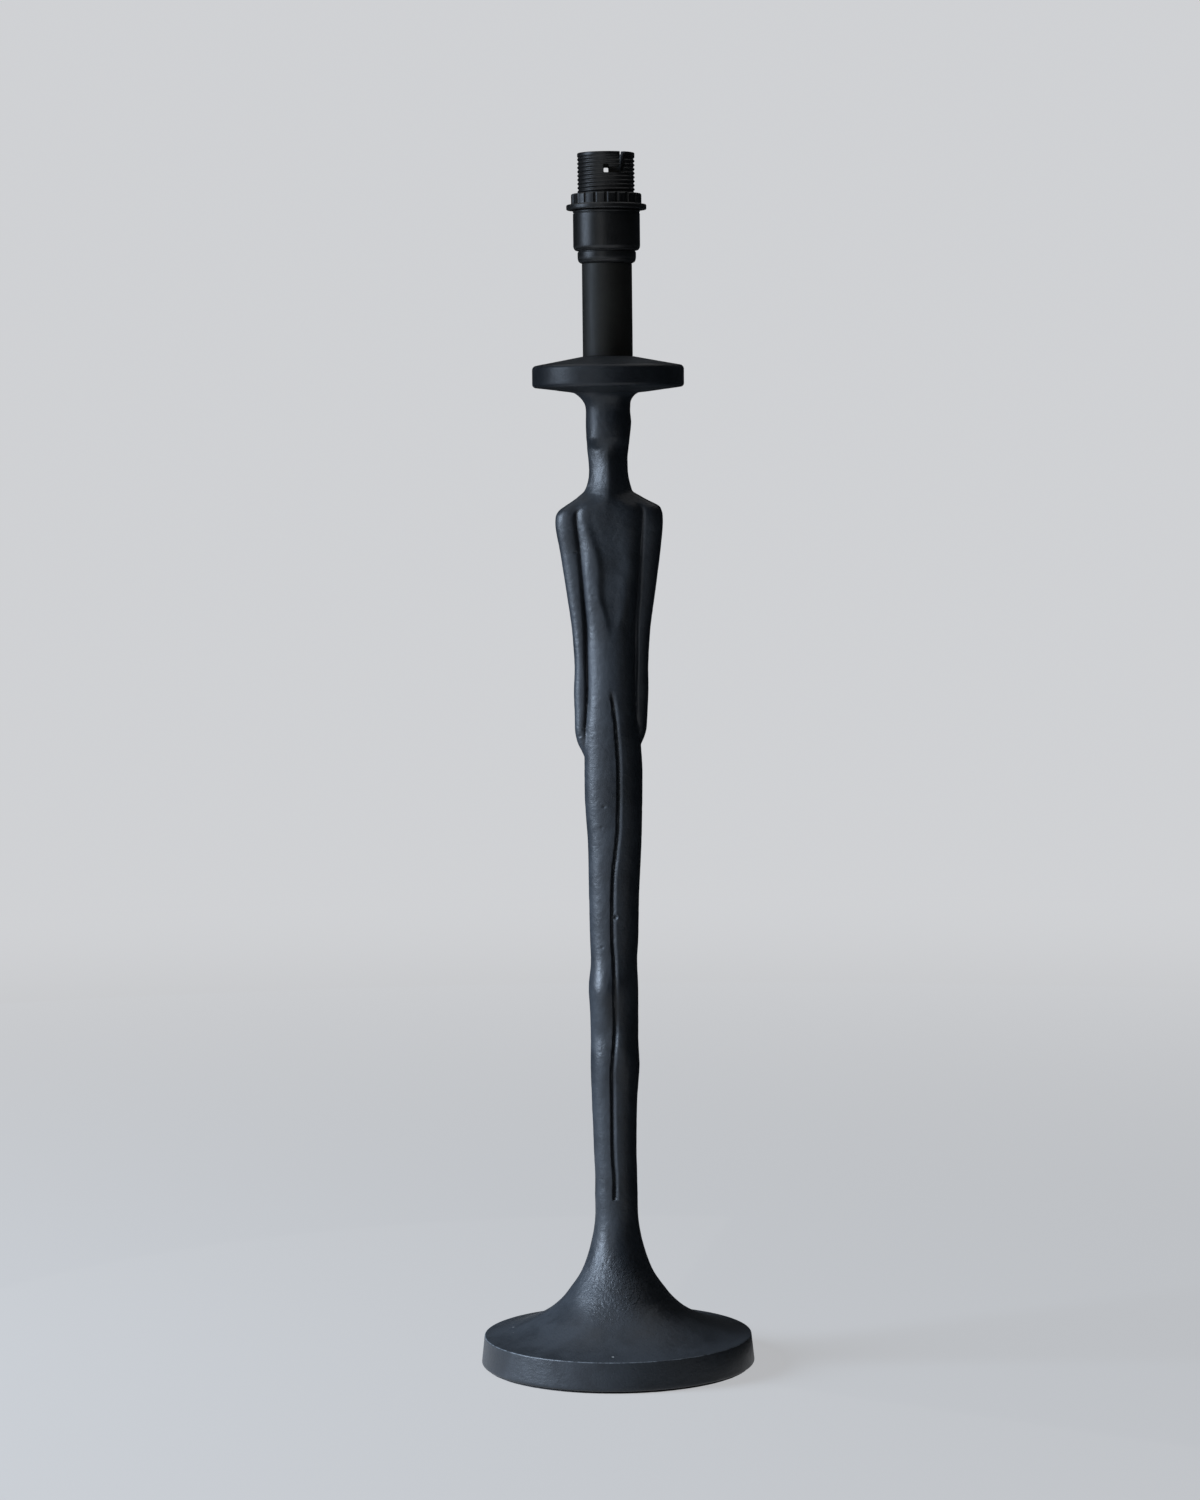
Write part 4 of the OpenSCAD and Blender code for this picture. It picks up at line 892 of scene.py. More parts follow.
def casting_skin(settings):
    """Outside of the casting: foot, flare, figure and disc as one closed loft."""
    foot_r, rim = settings.foot_radius / MM, settings.rim_height / MM
    ankle, disc_low = settings.ankle_height / MM, settings.disc_height / MM
    disc_r, disc_edge = settings.disc_radius / MM, settings.disc_edge / MM
    gap, disc_top, pad = settings.gap_depth / MM, DISC_TOP / MM, PAD_TOP / MM
    stretch = (disc_low - ankle) / FIGURE_HEIGHT
    foot_round, rim_round, under_round, top_round = 1.1, 0.6, 1.9, 2.2
    top_r = foot_r - 1.4
    wide_r, _ = FLARE[0]
    ankle_r, flare_height = FLARE[-1]
    flare = smooth_curve(FLARE, 8)
    flare_r = ankle_r + (flare[:, 0] - ankle_r) * (top_r - rim_round - ankle_r) / (wide_r - ankle_r)
    flare_z = rim + flare[:, 1] * (ankle - rim) / flare_height
    rings = []

    def add_ring(xy, z, edge=0.0, deep=0.0):
        rings.append(np.column_stack([xy, *(np.full(len(xy), value) for value in (z, edge, deep))]))

    def round_ring(r, z, edge=0.0, count=128):
        a = np.arange(count) * 2 * math.pi / count
        add_ring(np.stack([r * np.cos(a), r * np.sin(a)], 1), z, edge)

    def cone(start, end, shares, count=128):
        for u in shares:
            r, z = (a + (b - a) * u for a, b in zip(start, end))
            round_ring(r, z, 0, count)

    # Foot
    for r in (20, 45, 60, 65):
        round_ring(r, pad, 0, 256)
    low = arc(foot_r - foot_round, pad + foot_round, foot_round, -90, 0, 8)
    for r, z in low:
        round_ring(r, z, 0.35, 256)
    cone(low[-1], (top_r, rim - rim_round), np.linspace(0, 1, 13)[1:-1], 256)
    for k, (r, z) in enumerate(arc(top_r - rim_round, rim - rim_round, rim_round, 0, 80, 6)):
        round_ring(r, z, 0.8 if 1 < k < 6 else 0.5, 256)
    # Flare, which turns into the legs
    way = np.concatenate([[0], np.cumsum(np.hypot(np.diff(flare_r), np.diff(flare_z)))])
    quarters = way[-1] * np.array([0, 0.22, 0.5, 0.76, 1])
    for s in np.interp(np.linspace(0, 1, 92)[1:], np.linspace(0, 1, 5), quarters):
        r, z = np.interp(s, way, flare_r), np.interp(s, way, flare_z)
        if z > 64:
            break
        blend = ease((z - 42) / 22)
        h = (z - ankle) / stretch
        a = (1 - blend) * np.arange(256) * math.pi / 128 + blend * ring_angles(h, 256)
        inner, _ = figure_ring(h, a, 0)
        size = np.linalg.norm(inner, axis=1)
        add_ring(inner * (grown(size, r) / size)[:, None], z, 0.3 * float(s < 1.2))
    start = (rings[-1][0, 2] - ankle) / stretch + 0.9

    def fine(h):
        """Step to the next ring, shorter where the form changes fast."""
        z = ankle + h * stretch
        if abs(h) < 1.5:
            return 0.25
        if abs(h) < 3 or any(abs(z - up) < 1.6 for _, up, _, _ in PITS):
            return 0.5
        if 226 < h < 242 or 344 < h < 360 or 375 < h < 384 or h > 398:
            return 0.7
        return 1.2

    # Figure
    for h in ring_heights(start, 406, fine):
        z = ankle + h * stretch
        a = ring_angles(h, 128)
        xy, deep = figure_ring(h, a, gap)
        if z < ankle + 6:
            r = np.interp(z, flare_z, flare_r) if z < ankle else ankle_r
            size = np.linalg.norm(figure_ring(h, a, 0)[0], axis=1)
            near = ease((ankle + 6 - z) / 6)
            xy = xy * (1 + (grown(size, r) / size - 1) * near)[:, None]
        add_ring(xy, z, 0, deep)
    # Disc
    edge_low = disc_low + 4
    edge_top = edge_low + disc_edge
    lower = arc(disc_r - under_round, edge_low + under_round, under_round, -75, 0, 7)
    upper = arc(disc_r - top_round, edge_top - top_round, top_round, 0, 75, 7)
    cone((18.6, disc_low + 1.7), lower[0], np.linspace(0, 1, 12)[:-1])
    for r, z in lower:
        round_ring(r, z, 0.5)
    cone(lower[-1], upper[0], np.linspace(0, 1, 9)[1:-1])
    for r, z in upper:
        round_ring(r, z, 0.55)
    cone(upper[-1], (TUBE_RADIUS / MM + 0.6, disc_top), np.linspace(0, 1, 16)[1:])
    for r in (10, 4):
        round_ring(r, disc_top)

    counts = [len(ring) for ring in rings]
    starts = [int(s) for s in np.concatenate([[0], np.cumsum(counts)])]
    faces = []
    for k in range(len(rings) - 1):
        faces += stitch(starts[k], counts[k], starts[k + 1], counts[k + 1])
    low_mid, high_mid, last = starts[-1], starts[-1] + 1, starts[-2]
    faces += [(low_mid, (i + 1) % counts[0], i) for i in range(counts[0])]
    faces += [(high_mid, last + i, last + (i + 1) % counts[-1]) for i in range(counts[-1])]
    table = np.concatenate(rings + [[(0, 0, pad, 0, 0), (0, 0, disc_top, 0, 0)]])
    return table[:, :3], faces, table[:, 3], table[:, 4]


def press_pits(points):
    """Sinks the casting's small pits into its front, each with a faint lip."""
    for across, up, radius, deep in PITS:
        away = np.hypot(points[:, 0] - across, points[:, 2] - up)
        share = np.where((points[:, 1] < 0) & (away < 2.2 * radius), 1.0, 0.0)
        bowl = np.exp(-(away / (0.62 * radius)) ** 2)
        lip = 0.14 * np.exp(-((away - 1.25 * radius) / (0.4 * radius)) ** 2)
        points[:, 1] += share * deep * (bowl - lip)
    return points


def relief_tree(material):
    """Unevenness of a sand casting: broad lumps, and wrinkles where a mask asks for them."""
    tree, ins = geometry_tree("cast_relief", [
        ("Lump Height", "Float", 0.15 * MM), ("Lump Scale", "Float", 70.0),
        ("Fine Height", "Float", 0.10 * MM), ("Fine Scale", "Float", 380.0),
        ("Ripple Height", "Float", 0.25 * MM), ("Ripple Scale", "Float", 330.0)])
    place = put(tree, "GeometryNodeInputPosition").outputs[0]
    drawn = vector_math(tree, "MULTIPLY", {0: place, 1: (1.0, 1.0, 0.6)})

    def named(name):
        return put(
            tree, "GeometryNodeInputNamedAttribute", {"Name": name}, data_type="FLOAT").outputs[0]

    def bumps(kind, where, **texture):
        """A noise round zero, as high on each side as its input asks."""
        values = {"Vector": where, "Scale": ins[f"{kind} Scale"], **texture}
        value = put(tree, "ShaderNodeTexNoise", values).outputs[0]
        return times(tree, minus(tree, value, 0.5), times(tree, ins[f"{kind} Height"], 2.0))

    total = plus(tree, bumps("Lump", place, Detail=2.0), bumps("Fine", place, Detail=2.0))
    total = times(tree, total, named("free"))
    wrinkle = bumps("Ripple", drawn, Detail=3.0, Distortion=1.4)
    total = plus(tree, total, times(tree, wrinkle, named("ripple")))
    normal = put(tree, "GeometryNodeInputNormal").outputs[0]
    offset = vector_math(tree, "SCALE", {0: normal, "Scale": total})
    end_tree(tree, shifted(tree, ins["Geometry"], offset), material)
    return tree


class LAMP_OT_casting(bpy.types.Operator):
    """Builds the casting: foot, standing figure and disc in one piece"""
    bl_idname = "lamp.casting"
    bl_label = "Casting"

    def execute(self, context):
        settings = context.scene.lamp_casting
        points, faces, edge, deep = casting_skin(settings)
        points = press_pits(points)
        x, y, z = points.T
        foot_r, disc_top = settings.foot_radius / MM, DISC_TOP / MM
        out = np.hypot(x, y)
        # Uneven all over, but true at the table, the rim and the disc's top, and calm on its edge
        free = ease((z - 3) / 4) * ease((foot_r - 0.5 - out) / 2) * ease((disc_top - 1.5 - z) / 3)
        inside_disc = (settings.disc_radius / MM - 0.4 - out) / 1.5
        free *= 0.35 + 0.65 * ease(inside_disc + (z < 400))
        # Wrinkles in an oval patch on the front of the flare
        patch = np.hypot((x + 3) / 14, (z - 42) / 15)
        ripple = ease(1.6 - patch) * (y < 0) * ease((z - 19) / 4)
        # The hollow attribute carries how deep each place lies in a fold, which the paint darkens
        # as painted shade
        piece = mesh_object(
            "casting", points * MM, faces,
            {"edge": edge, "hollow": deep, "free": free, "ripple": ripple})
        material = casting_paint(settings)
        run_tree(piece, relief_tree(material), {
            "Lump Height": settings.lump_height, "Ripple Height": settings.ripple_height})
        combine(piece, underside_cutter(), "DIFFERENCE")
        settle(piece, material, "base", "figure_casting")
        return {"FINISHED"}


def cylinder(radius, low, high, sides, place):
    """A closed cylinder in mm, moved to its place, for cutting and joining."""
    tool = bmesh.new()
    bmesh.ops.create_cone(
        tool, cap_ends=True, segments=sides, radius1=radius * MM, radius2=radius * MM,
        depth=(high - low) * MM, matrix=Matrix.Translation((0, 0, (high + low) / 2 * MM)))
    bmesh.ops.transform(tool, matrix=place, verts=tool.verts)
    mesh = bpy.data.meshes.new("cylinder")
    tool.to_mesh(mesh)
    tool.free()
    piece = bpy.data.objects.new("cylinder", mesh)
    bpy.context.scene.collection.objects.link(piece)
    return piece


def underside_cutter():
    """Everything that is open in the casting: cover rebate, hollow, rod's hole and cord inlet."""
    foot_r, top = FOOT_RADIUS / MM, DISC_TOP / MM + 4
    wall, seat, bore = 5, 30, 5.5
    rebate_r, rebate_top, hollow_r = foot_r - 6.8, 3.2, foot_r - 10.3
    flare = smooth_curve(FLARE, 3)
    points = np.stack([flare[:, 0], RIM_HEIGHT + flare[:, 1]], 1)
    inner = []
    for i in range(len(points)):
        d = points[min(i + 1, len(points) - 1)] - points[max(i - 1, 0)]
        d /= np.linalg.norm(d)
        inner.append(points[i] - wall * np.array([-d[1], d[0]]) * (-1 if d[0] < 0 else 1))
    r, z = np.transpose(inner)
    wall_top = float(np.interp(hollow_r, r[::-1], z[::-1]))
    at_seat = float(np.interp(seat, z, r))
    ceiling = [tuple(p) for p in inner if p[0] < hollow_r - 0.05 and p[1] < seat]
    body = turned("casting_cutter", [
        (0, -3), (rebate_r, -3), (rebate_r, rebate_top), (hollow_r, rebate_top),
        (hollow_r, wall_top), *ceiling, (at_seat, seat), (bore, seat), (bore, top), (0, top)], 96)
    out = Matrix.Translation(((foot_r - 13.8) * MM, 0, 0))
    screws = [
        Matrix.Rotation(math.radians(angle), 4, "Z") @ out for angle in (45, 135, 225, 315)]
    # Pillars for the cover's screws stay in the hollow
    for spot in screws:
        combine(body, cylinder(4, rebate_top, 40, 48, spot), "DIFFERENCE")
    across = Matrix.Rotation(math.radians(-90), 4, "X")
    inlet = Matrix.Translation((0, (foot_r - 3) * MM, 7.2 * MM)) @ across
    combine(body, cylinder(4.9, 0, 8, 64, inlet), "UNION")
    combine(body, cylinder(3.8, -13, 0.5, 64, inlet), "UNION")
    for spot in screws:
        combine(body, cylinder(1.45, 2, 9.8, 32, spot), "UNION")
    return body


# Candle tube

class LAMP_OT_candle_tube(bpy.types.Operator):
    """Builds the candle tube with its rolled ends"""
    bl_idname = "lamp.candle_tube"
    bl_label = "Candle Tube"

    def execute(self, context):
        settings = context.scene.lamp_tube
        r, wall = TUBE_RADIUS / MM, settings.wall / MM
        low, high = DISC_TOP / MM, TUBE_TOP / MM
        corners = [(r - wall, low), (r, low, 0.45), (r, high, 0.45), (r - wall, high)]
        piece = lathe("candle_tube_painted", corners, 0.3, 4, 192, longest=4)
        # The tube's black paint carries a warm tint that is painted light
        material = satin_black("black_tube_paint", settings.paint, 0.52, specular=0.36)
        settle(piece, material, "base", "candle_tube")
        return {"FINISHED"}


# Lampholder

def thread_tree(material):
    """Cuts a helical thread into a turned barrel, between two heights."""
    tree, ins = geometry_tree("helical_thread", [
        ("Radius", "Float", 14.3 * MM), ("Pitch", "Float", 2 * MM), ("Depth", "Float", 0.5 * MM),
        ("Start", "Float", 0.58), ("End", "Float", 0.607)])
    runout, skin = 1.2 * MM, 0.2 * MM
    place = put(tree, "GeometryNodeInputPosition").outputs[0]
    axes = put(tree, "ShaderNodeSeparateXYZ", {0: place}).outputs
    flat = put(tree, "ShaderNodeCombineXYZ", {0: axes["X"], 1: axes["Y"]}).outputs[0]
    turn = math_node(tree, "DIVIDE", math_node(tree, "ARCTAN2", axes["Y"], axes["X"]), 2 * math.pi)
    steps = math_node(tree, "DIVIDE", axes["Z"], ins["Pitch"])
    phase = math_node(tree, "FRACT", minus(tree, steps, turn))
    ridge = times(tree, math_node(tree, "ABSOLUTE", minus(tree, phase, 0.5)), 2.0)
    groove = span(tree, ridge, 0.2, 0.8)
    reach = vector_math(tree, "LENGTH", {0: flat}, "Value")
    outer = math_node(tree, "GREATER_THAN", reach, minus(tree, ins["Radius"], skin))
    up = span(tree, axes["Z"], ins["Start"], plus(tree, ins["Start"], runout))
    down = span(tree, axes["Z"], minus(tree, ins["End"], runout), ins["End"], 1.0, 0.0)
    deep = times(tree, times(tree, groove, ins["Depth"]), outer)
    deep = times(tree, deep, times(tree, up, down))
    outward = vector_math(tree, "NORMALIZE", {0: flat})
    offset = vector_math(tree, "SCALE", {0: outward, "Scale": times(tree, deep, -1.0)})
    end_tree(tree, shifted(tree, ins["Geometry"], offset), material)
    return tree


def grip_tree(material):
    """Cuts finger grips round a ring, one cutter turned round the middle."""
    tree, ins = geometry_tree("finger_grips", [
        ("Count", "Int", 20), ("Circle", "Float", 18 * MM), ("Grip Radius", "Float", 1.2 * MM),
        ("Low", "Float", 0.58), ("Height", "Float", 10 * MM)])
    circle = put(tree, "GeometryNodeMeshCircle", {
        "Vertices": ins["Count"], "Radius": ins["Circle"]}).outputs[0]
    middle = plus(tree, ins["Low"], times(tree, ins["Height"], 0.5))
    lift = put(tree, "ShaderNodeCombineXYZ", {2: middle}).outputs[0]
    tool = put(tree, "GeometryNodeMeshCylinder", {
        "Vertices": 20, "Radius": ins["Grip Radius"], "Depth": ins["Height"]}).outputs["Mesh"]
    cutters = put(tree, "GeometryNodeInstanceOnPoints", {
        "Points": shifted(tree, circle, lift), "Instance": tool}).outputs[0]
    cutters = put(tree, "GeometryNodeRealizeInstances", {"Geometry": cutters}).outputs[0]
    cut = put(
        tree, "GeometryNodeMeshBoolean", {0: ins["Geometry"], 1: cutters},
        operation="DIFFERENCE", solver="EXACT")
    end_tree(tree, cut.outputs[0], material)
    return tree


def slot_cutter(turn):
    """A bayonet slot as a closed block bent round the barrel: entry, run and rounded hook."""
    inner, middle, outer = 10.3, 12.8, 15.3
    top, low, wide, hook = BARREL_TOP / MM + 1, BARREL_TOP / MM - 10.5, 2.6, 1.6
    end = math.radians(35) * middle
    corners = [
        (-wide / 2, low), (end + wide / 2, low), (end + wide / 2, top), (end - wide / 2, top),
        (end - wide / 2, low + wide), (wide / 2, low + wide), (wide / 2, low + wide + hook),
        (-wide / 2, low + wide + hook)]
    outline, marks = rounded_profile(corners, 0.9, 4)
    outline, _ = dense_profile(outline, marks, 0.8)
    count = len(outline)
    points = []
    for r in (inner, outer):
        for s, z in outline:
            a = s / middle + math.radians(turn)
            points.append((r * math.cos(a) * MM, r * math.sin(a) * MM, z * MM))
    piece = mesh_object("slot_cutter", points, [], smooth=False)
    tool = bmesh.new()
    tool.from_mesh(piece.data)
    verts = list(tool.verts)
    near, far = verts[:count], verts[count:]
    for i in range(count):
        j = (i + 1) % count
        tool.faces.new((near[i], near[j], far[j], far[i]))
    for loop in (near, far):
        bmesh.ops.triangulate(tool, faces=[tool.faces.new(loop)])
    bmesh.ops.recalc_face_normals(tool, faces=tool.faces)
    tool.to_mesh(piece.data)
    tool.free()
    return piece


class LAMP_OT_lampholder(bpy.types.Operator):
    """Builds the lampholder: cap, threaded barrel with its bayonet slots, and shade ring"""
    bl_idname = "lamp.lampholder"
    bl_label = "Lampholder"

    def execute(self, context):
        settings = context.scene.lamp_lampholder
        material = satin_black(
            "black_lampholder_finish", settings.finish, 0.36, (1.0, 1.0, 1.0), 0.35)
        low, top = TUBE_TOP / MM, CAP_TOP / MM
        barrel, bore, neck, shell = BARREL_RADIUS / MM, 5.05, 14.6, 16.7
        cap = lathe("lampholder_cap_turned", [
            (bore, low), (12.5, low), (14.1, low + 0.8, 1.4), (neck, low + 2.6, 1),
            (neck, low + 5.6, 0.3), (14.2, low + 5.8, 0.2), (14.2, low + 6.3, 0.2),
            (15.8, low + 6.6, 0.5), (shell, low + 8, 0.9), (shell, top - 1.6, 0.3),
            (16.4, top - 1.4, 0.15), (16.4, top - 1.1, 0.15), (shell, top - 0.9, 0.2),
            (shell, top, 0.5), (barrel + 0.05, top), (barrel + 0.05, low + 9.8), (bore, low + 9.8)],
            0.25, 3, 160, longest=3)
        across = Matrix.Rotation(math.radians(-90), 4, "X")
        grub = Matrix.Translation((0, 0, (low + 6.3 * 0.55) * MM)) @ across
        combine(cap, cylinder(1.5, 1, 17, 32, grub), "DIFFERENCE")
        settle(cap, material, "base", "lampholder_cap")

        low, top = BARREL_LOW / MM, BARREL_TOP / MM
        wall, socket_r, socket_deep = 1.7, 11.3, 12.5
        body = lathe("lampholder_barrel_threaded", [
            (barrel - wall, low), (barrel, low), (barrel, top, 0.6), (socket_r, top, 0.6),
            (socket_r, top - socket_deep), (barrel - wall, top - socket_deep)],
            0.15, 3, 144, longest=0.26)
        run_tree(body, thread_tree(material), {
            "Radius": BARREL_RADIUS, "Pitch": settings.pitch, "Depth": settings.thread_depth,
            "Start": CAP_TOP - 1 * MM, "End": BARREL_TOP - 1.5 * MM})
        for turn in (90, 270):
            combine(body, slot_cutter(turn), "DIFFERENCE")
        settle(body, material, "base", "lampholder_barrel", smooth_angle=50)

        low, top, wide = RING_LOW / MM, RING_TOP / MM, RING_RADIUS / MM
        bore, grip_r = barrel + 0.08, wide - 2.4
        ring = lathe("shade_ring_gripped", [
            (bore, low), (wide, low, 0.7), (wide, low + 2.6, 0.7), (grip_r, low + 2.6, 0.5),
            (grip_r, top, 0.9), (bore, top, 0.4)], 0.3, 4, 160, longest=1.5)
        run_tree(ring, grip_tree(material), {
            "Count": settings.grips, "Circle": RING_RADIUS - 1.9 * MM, "Grip Radius": 1.2 * MM,
            "Low": RING_LOW + 3 * MM, "Height": 10 * MM})
        settle(ring, material, "shade_ring", "shade_ring")
        return {"FINISHED"}


def coil_spring(name, middle, radius, wire, low, high):
    """A coil of round wire between two heights in metres, with a closed turn at each end."""
    turns, steps, sides = 6, 32, 12
    closed = 1.05 * wire
    heights = [low + wire / 2, low + wire / 2 + closed, high - wire / 2 - closed, high - wire / 2]
    points, faces = [], []
    for k in range(turns * steps + 1):
        a = 2 * math.pi * k / steps
        z = np.interp(k / steps, [0, 1, turns - 1, turns], heights)
        for i in range(sides):
            b = 2 * math.pi * i / sides
            reach = radius + wire / 2 * math.cos(b)
            across, up = (reach * math.cos(a), reach * math.sin(a)), wire / 2 * math.sin(b)
            points.append((middle.x + across[0], middle.y + across[1], z + up))
            if k:
                j, last = (i + 1) % sides, (k - 1) * sides
                faces.append((last + i, last + j, last + sides + j, last + sides + i))
    for first in (0, turns * steps * sides):
        end = points[first:first + sides]
        points.append(tuple(np.mean(end, axis=0)))
        faces += [(len(points) - 1, first + i, first + (i + 1) % sides) for i in range(sides)]
    piece = mesh_object(name, points, faces)
    turn_outward(piece)
    return piece


class LAMP_OT_springs(bpy.types.Operator):
    """Builds the contact springs at rest; the real springs shorten as their plungers go down"""
    bl_idname = "lamp.springs"
    bl_label = "Springs"

    def execute(self, context):
        settings = context.scene.lamp_lampholder
        wire = settings.spring_wire
        material = plated_metal("bright_spring_steel", (0.62, 0.62, 0.62), 0.26)
        for side in ("left", "right"):
            low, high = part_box(f"plunger_spring_{side}")
            middle, radius = (low + high) / 2, (high.x - low.x - wire) / 2
            piece = coil_spring(
                f"plunger_spring_{side}_coiled", middle, radius, wire, low.z, high.z)
            settle(piece, material, "base", f"plunger_spring_{side}")
            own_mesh(piece)
        return {"FINISHED"}


# Foot's soft and rubber pieces

class LAMP_OT_felt_pad(bpy.types.Operator):
    """Builds the felt pad under the foot"""
    bl_idname = "lamp.felt_pad"
    bl_label = "Felt Pad"

    def execute(self, context):
        r, top = PAD_RADIUS / MM, PAD_TOP / MM
        outline = [(r / 3, 0), (0.8 * r, 0), (r - 1.4, 0), (r - 0.35, 0)]
        outline += arc(r - 0.5, top / 2, 0.5, -70, 70, 6)
        outline += [(r - 0.35, top), (r - 1.4, top), (0.8 * r, top), (r / 3, top)]
        sides, count = 420, len(outline)
        rng = np.random.default_rng(7)
        wobble = np.convolve(rng.normal(0, 1, sides + 8), np.ones(5) / 5, "same")[4:-4]
        fuzz = rng.normal(0, 1, (count, sides))
        points, faces = [], []
        for j, (radius, z) in enumerate(outline):
            rim = 1.0 if radius > r - 1 else 0.0
            for i in range(sides):
                a = 2 * math.pi * i / sides
                own = radius + rim * (0.1 * wobble[i] + 0.045 * fuzz[j, i] - 0.12)
                points.append((own * math.cos(a) * MM, own * math.sin(a) * MM, z * MM))
        low, high, last = len(points), len(points) + 1, (count - 1) * sides
        points += [(0, 0, 0), (0, 0, top * MM)]
        for i in range(sides):
            k = (i + 1) % sides
            faces += [(low, k, i), (high, last + i, last + k)]
            faces += [(j * sides + i, j * sides + k, (j + 1) * sides + k, (j + 1) * sides + i)
                      for j in range(count - 1)]
        piece = mesh_object("felt_pad_cloth", points, faces)
        turn_outward(piece)
        settle(piece, felt_cloth(), "base", "felt_pad", smooth_angle=60)
        return {"FINISHED"}


class LAMP_OT_inlet_bush(bpy.types.Operator):
    """Builds the rubber bush that lines the cord's hole"""
    bl_idname = "lamp.inlet_bush"
    bl_label = "Inlet Bush"

    def execute(self, context):
        low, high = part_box("cord_inlet_bush")
        back, front = low.y / MM, high.y / MM
        bore, sleeve, flange = 2.9, 3.7, 4.8
        piece = lathe("cord_inlet_bush_moulded", [
            (bore, back, 0.3), (sleeve, back, 0.3), (sleeve, front - 2, 0.2),
            (flange, front - 2, 0.4), (flange, front, 0.9), (3.3, front, 0.5),
            (bore, front - 0.7, 0.4)], 0.3, 4, 96)
        across = Matrix.Rotation(math.radians(-90), 4, "X")
        piece.data.transform(Matrix.Translation((0, 0, (low.z + high.z) / 2)) @ across)
        settle(piece, rubber(), "base", "cord_inlet_bush")
        return {"FINISHED"}


class LAMP_OT_inner_parts(bpy.types.Operator):
    """Finishes the fixings, contacts, wires and cover that keep their CAD shapes"""
    bl_idname = "lamp.inner_parts"
    bl_label = "Inner Parts"

    def execute(self, context):
        steel = plated_metal("zinc_plated_steel", (0.58, 0.57, 0.53), 0.34)
        dress_nodes([
            "threaded_rod", "foot_washer", "foot_lock_washer", "foot_nut", "upper_washer",
            "upper_nut", "cap_grub_screw", "wire_screws", "block_fixing_screws", "clamp_screws",
            "cover_screws", "bottom_cover"], steel)
        dress_nodes(["earth_tag"], plated_metal("tinned_brass_tag", (0.70, 0.68, 0.60), 0.32))
        dress_nodes([
            "terminal_left", "terminal_right", "terminal_screws", "plunger_left", "plunger_right",
            "block_barrels"], plated_metal("turned_contact_brass", (0.74, 0.55, 0.25), 0.3))
        dress_nodes(["contact_block"], steatite())
        dress_nodes(["tube_bush"], moulded("black_moulded_bush", (0.028, 0.028, 0.028), 0.5))
        dress_nodes(
            ["terminal_block", "cord_clamp"],
            moulded("natural_nylon_moulding", (0.80, 0.77, 0.69), 0.42, 0.15))
        dress_nodes(["live_wire"], moulded("brown_wire_insulation", (0.13, 0.055, 0.025), 0.42))
        dress_nodes(["neutral_wire"], moulded("blue_wire_insulation", (0.02, 0.09, 0.32), 0.42))
        dress_nodes(["earth_wire"], earth_insulation())
        return {"FINISHED"}


# Studio

def arc_band(start, end, edges):
    """Points and faces of a band along an arc, between two edges given as radius and height."""
    points, faces = [], []
    for k, a in enumerate(np.radians(np.linspace(start, end, 49))):
        points += [(r * math.cos(a), r * math.sin(a), z) for r, z in edges]
        if k:
            faces.append((2 * k - 2, 2 * k, 2 * k + 1, 2 * k - 1))
    return points, faces


def dull_material(name, scale, dark, light):
    """A dull dark material for what shades the lamp."""
    material, tree, shader = new_material(name, Roughness=0.9, Specular_IOR_Level=0.1)
    fleck = noise(tree, object_place(tree), scale)
    feed(tree, shader, Base_Color=blend_colour(tree, fleck, grey(dark), grey(light)))
    return material, tree, shader


def unseen(name, points, faces, material, shadow=True):
    """A stage piece that the camera doesn't see."""
    piece = mesh_object(name, points, faces)
    piece.data.materials.append(material)
    piece.visible_camera = False
    piece.visible_shadow = shadow


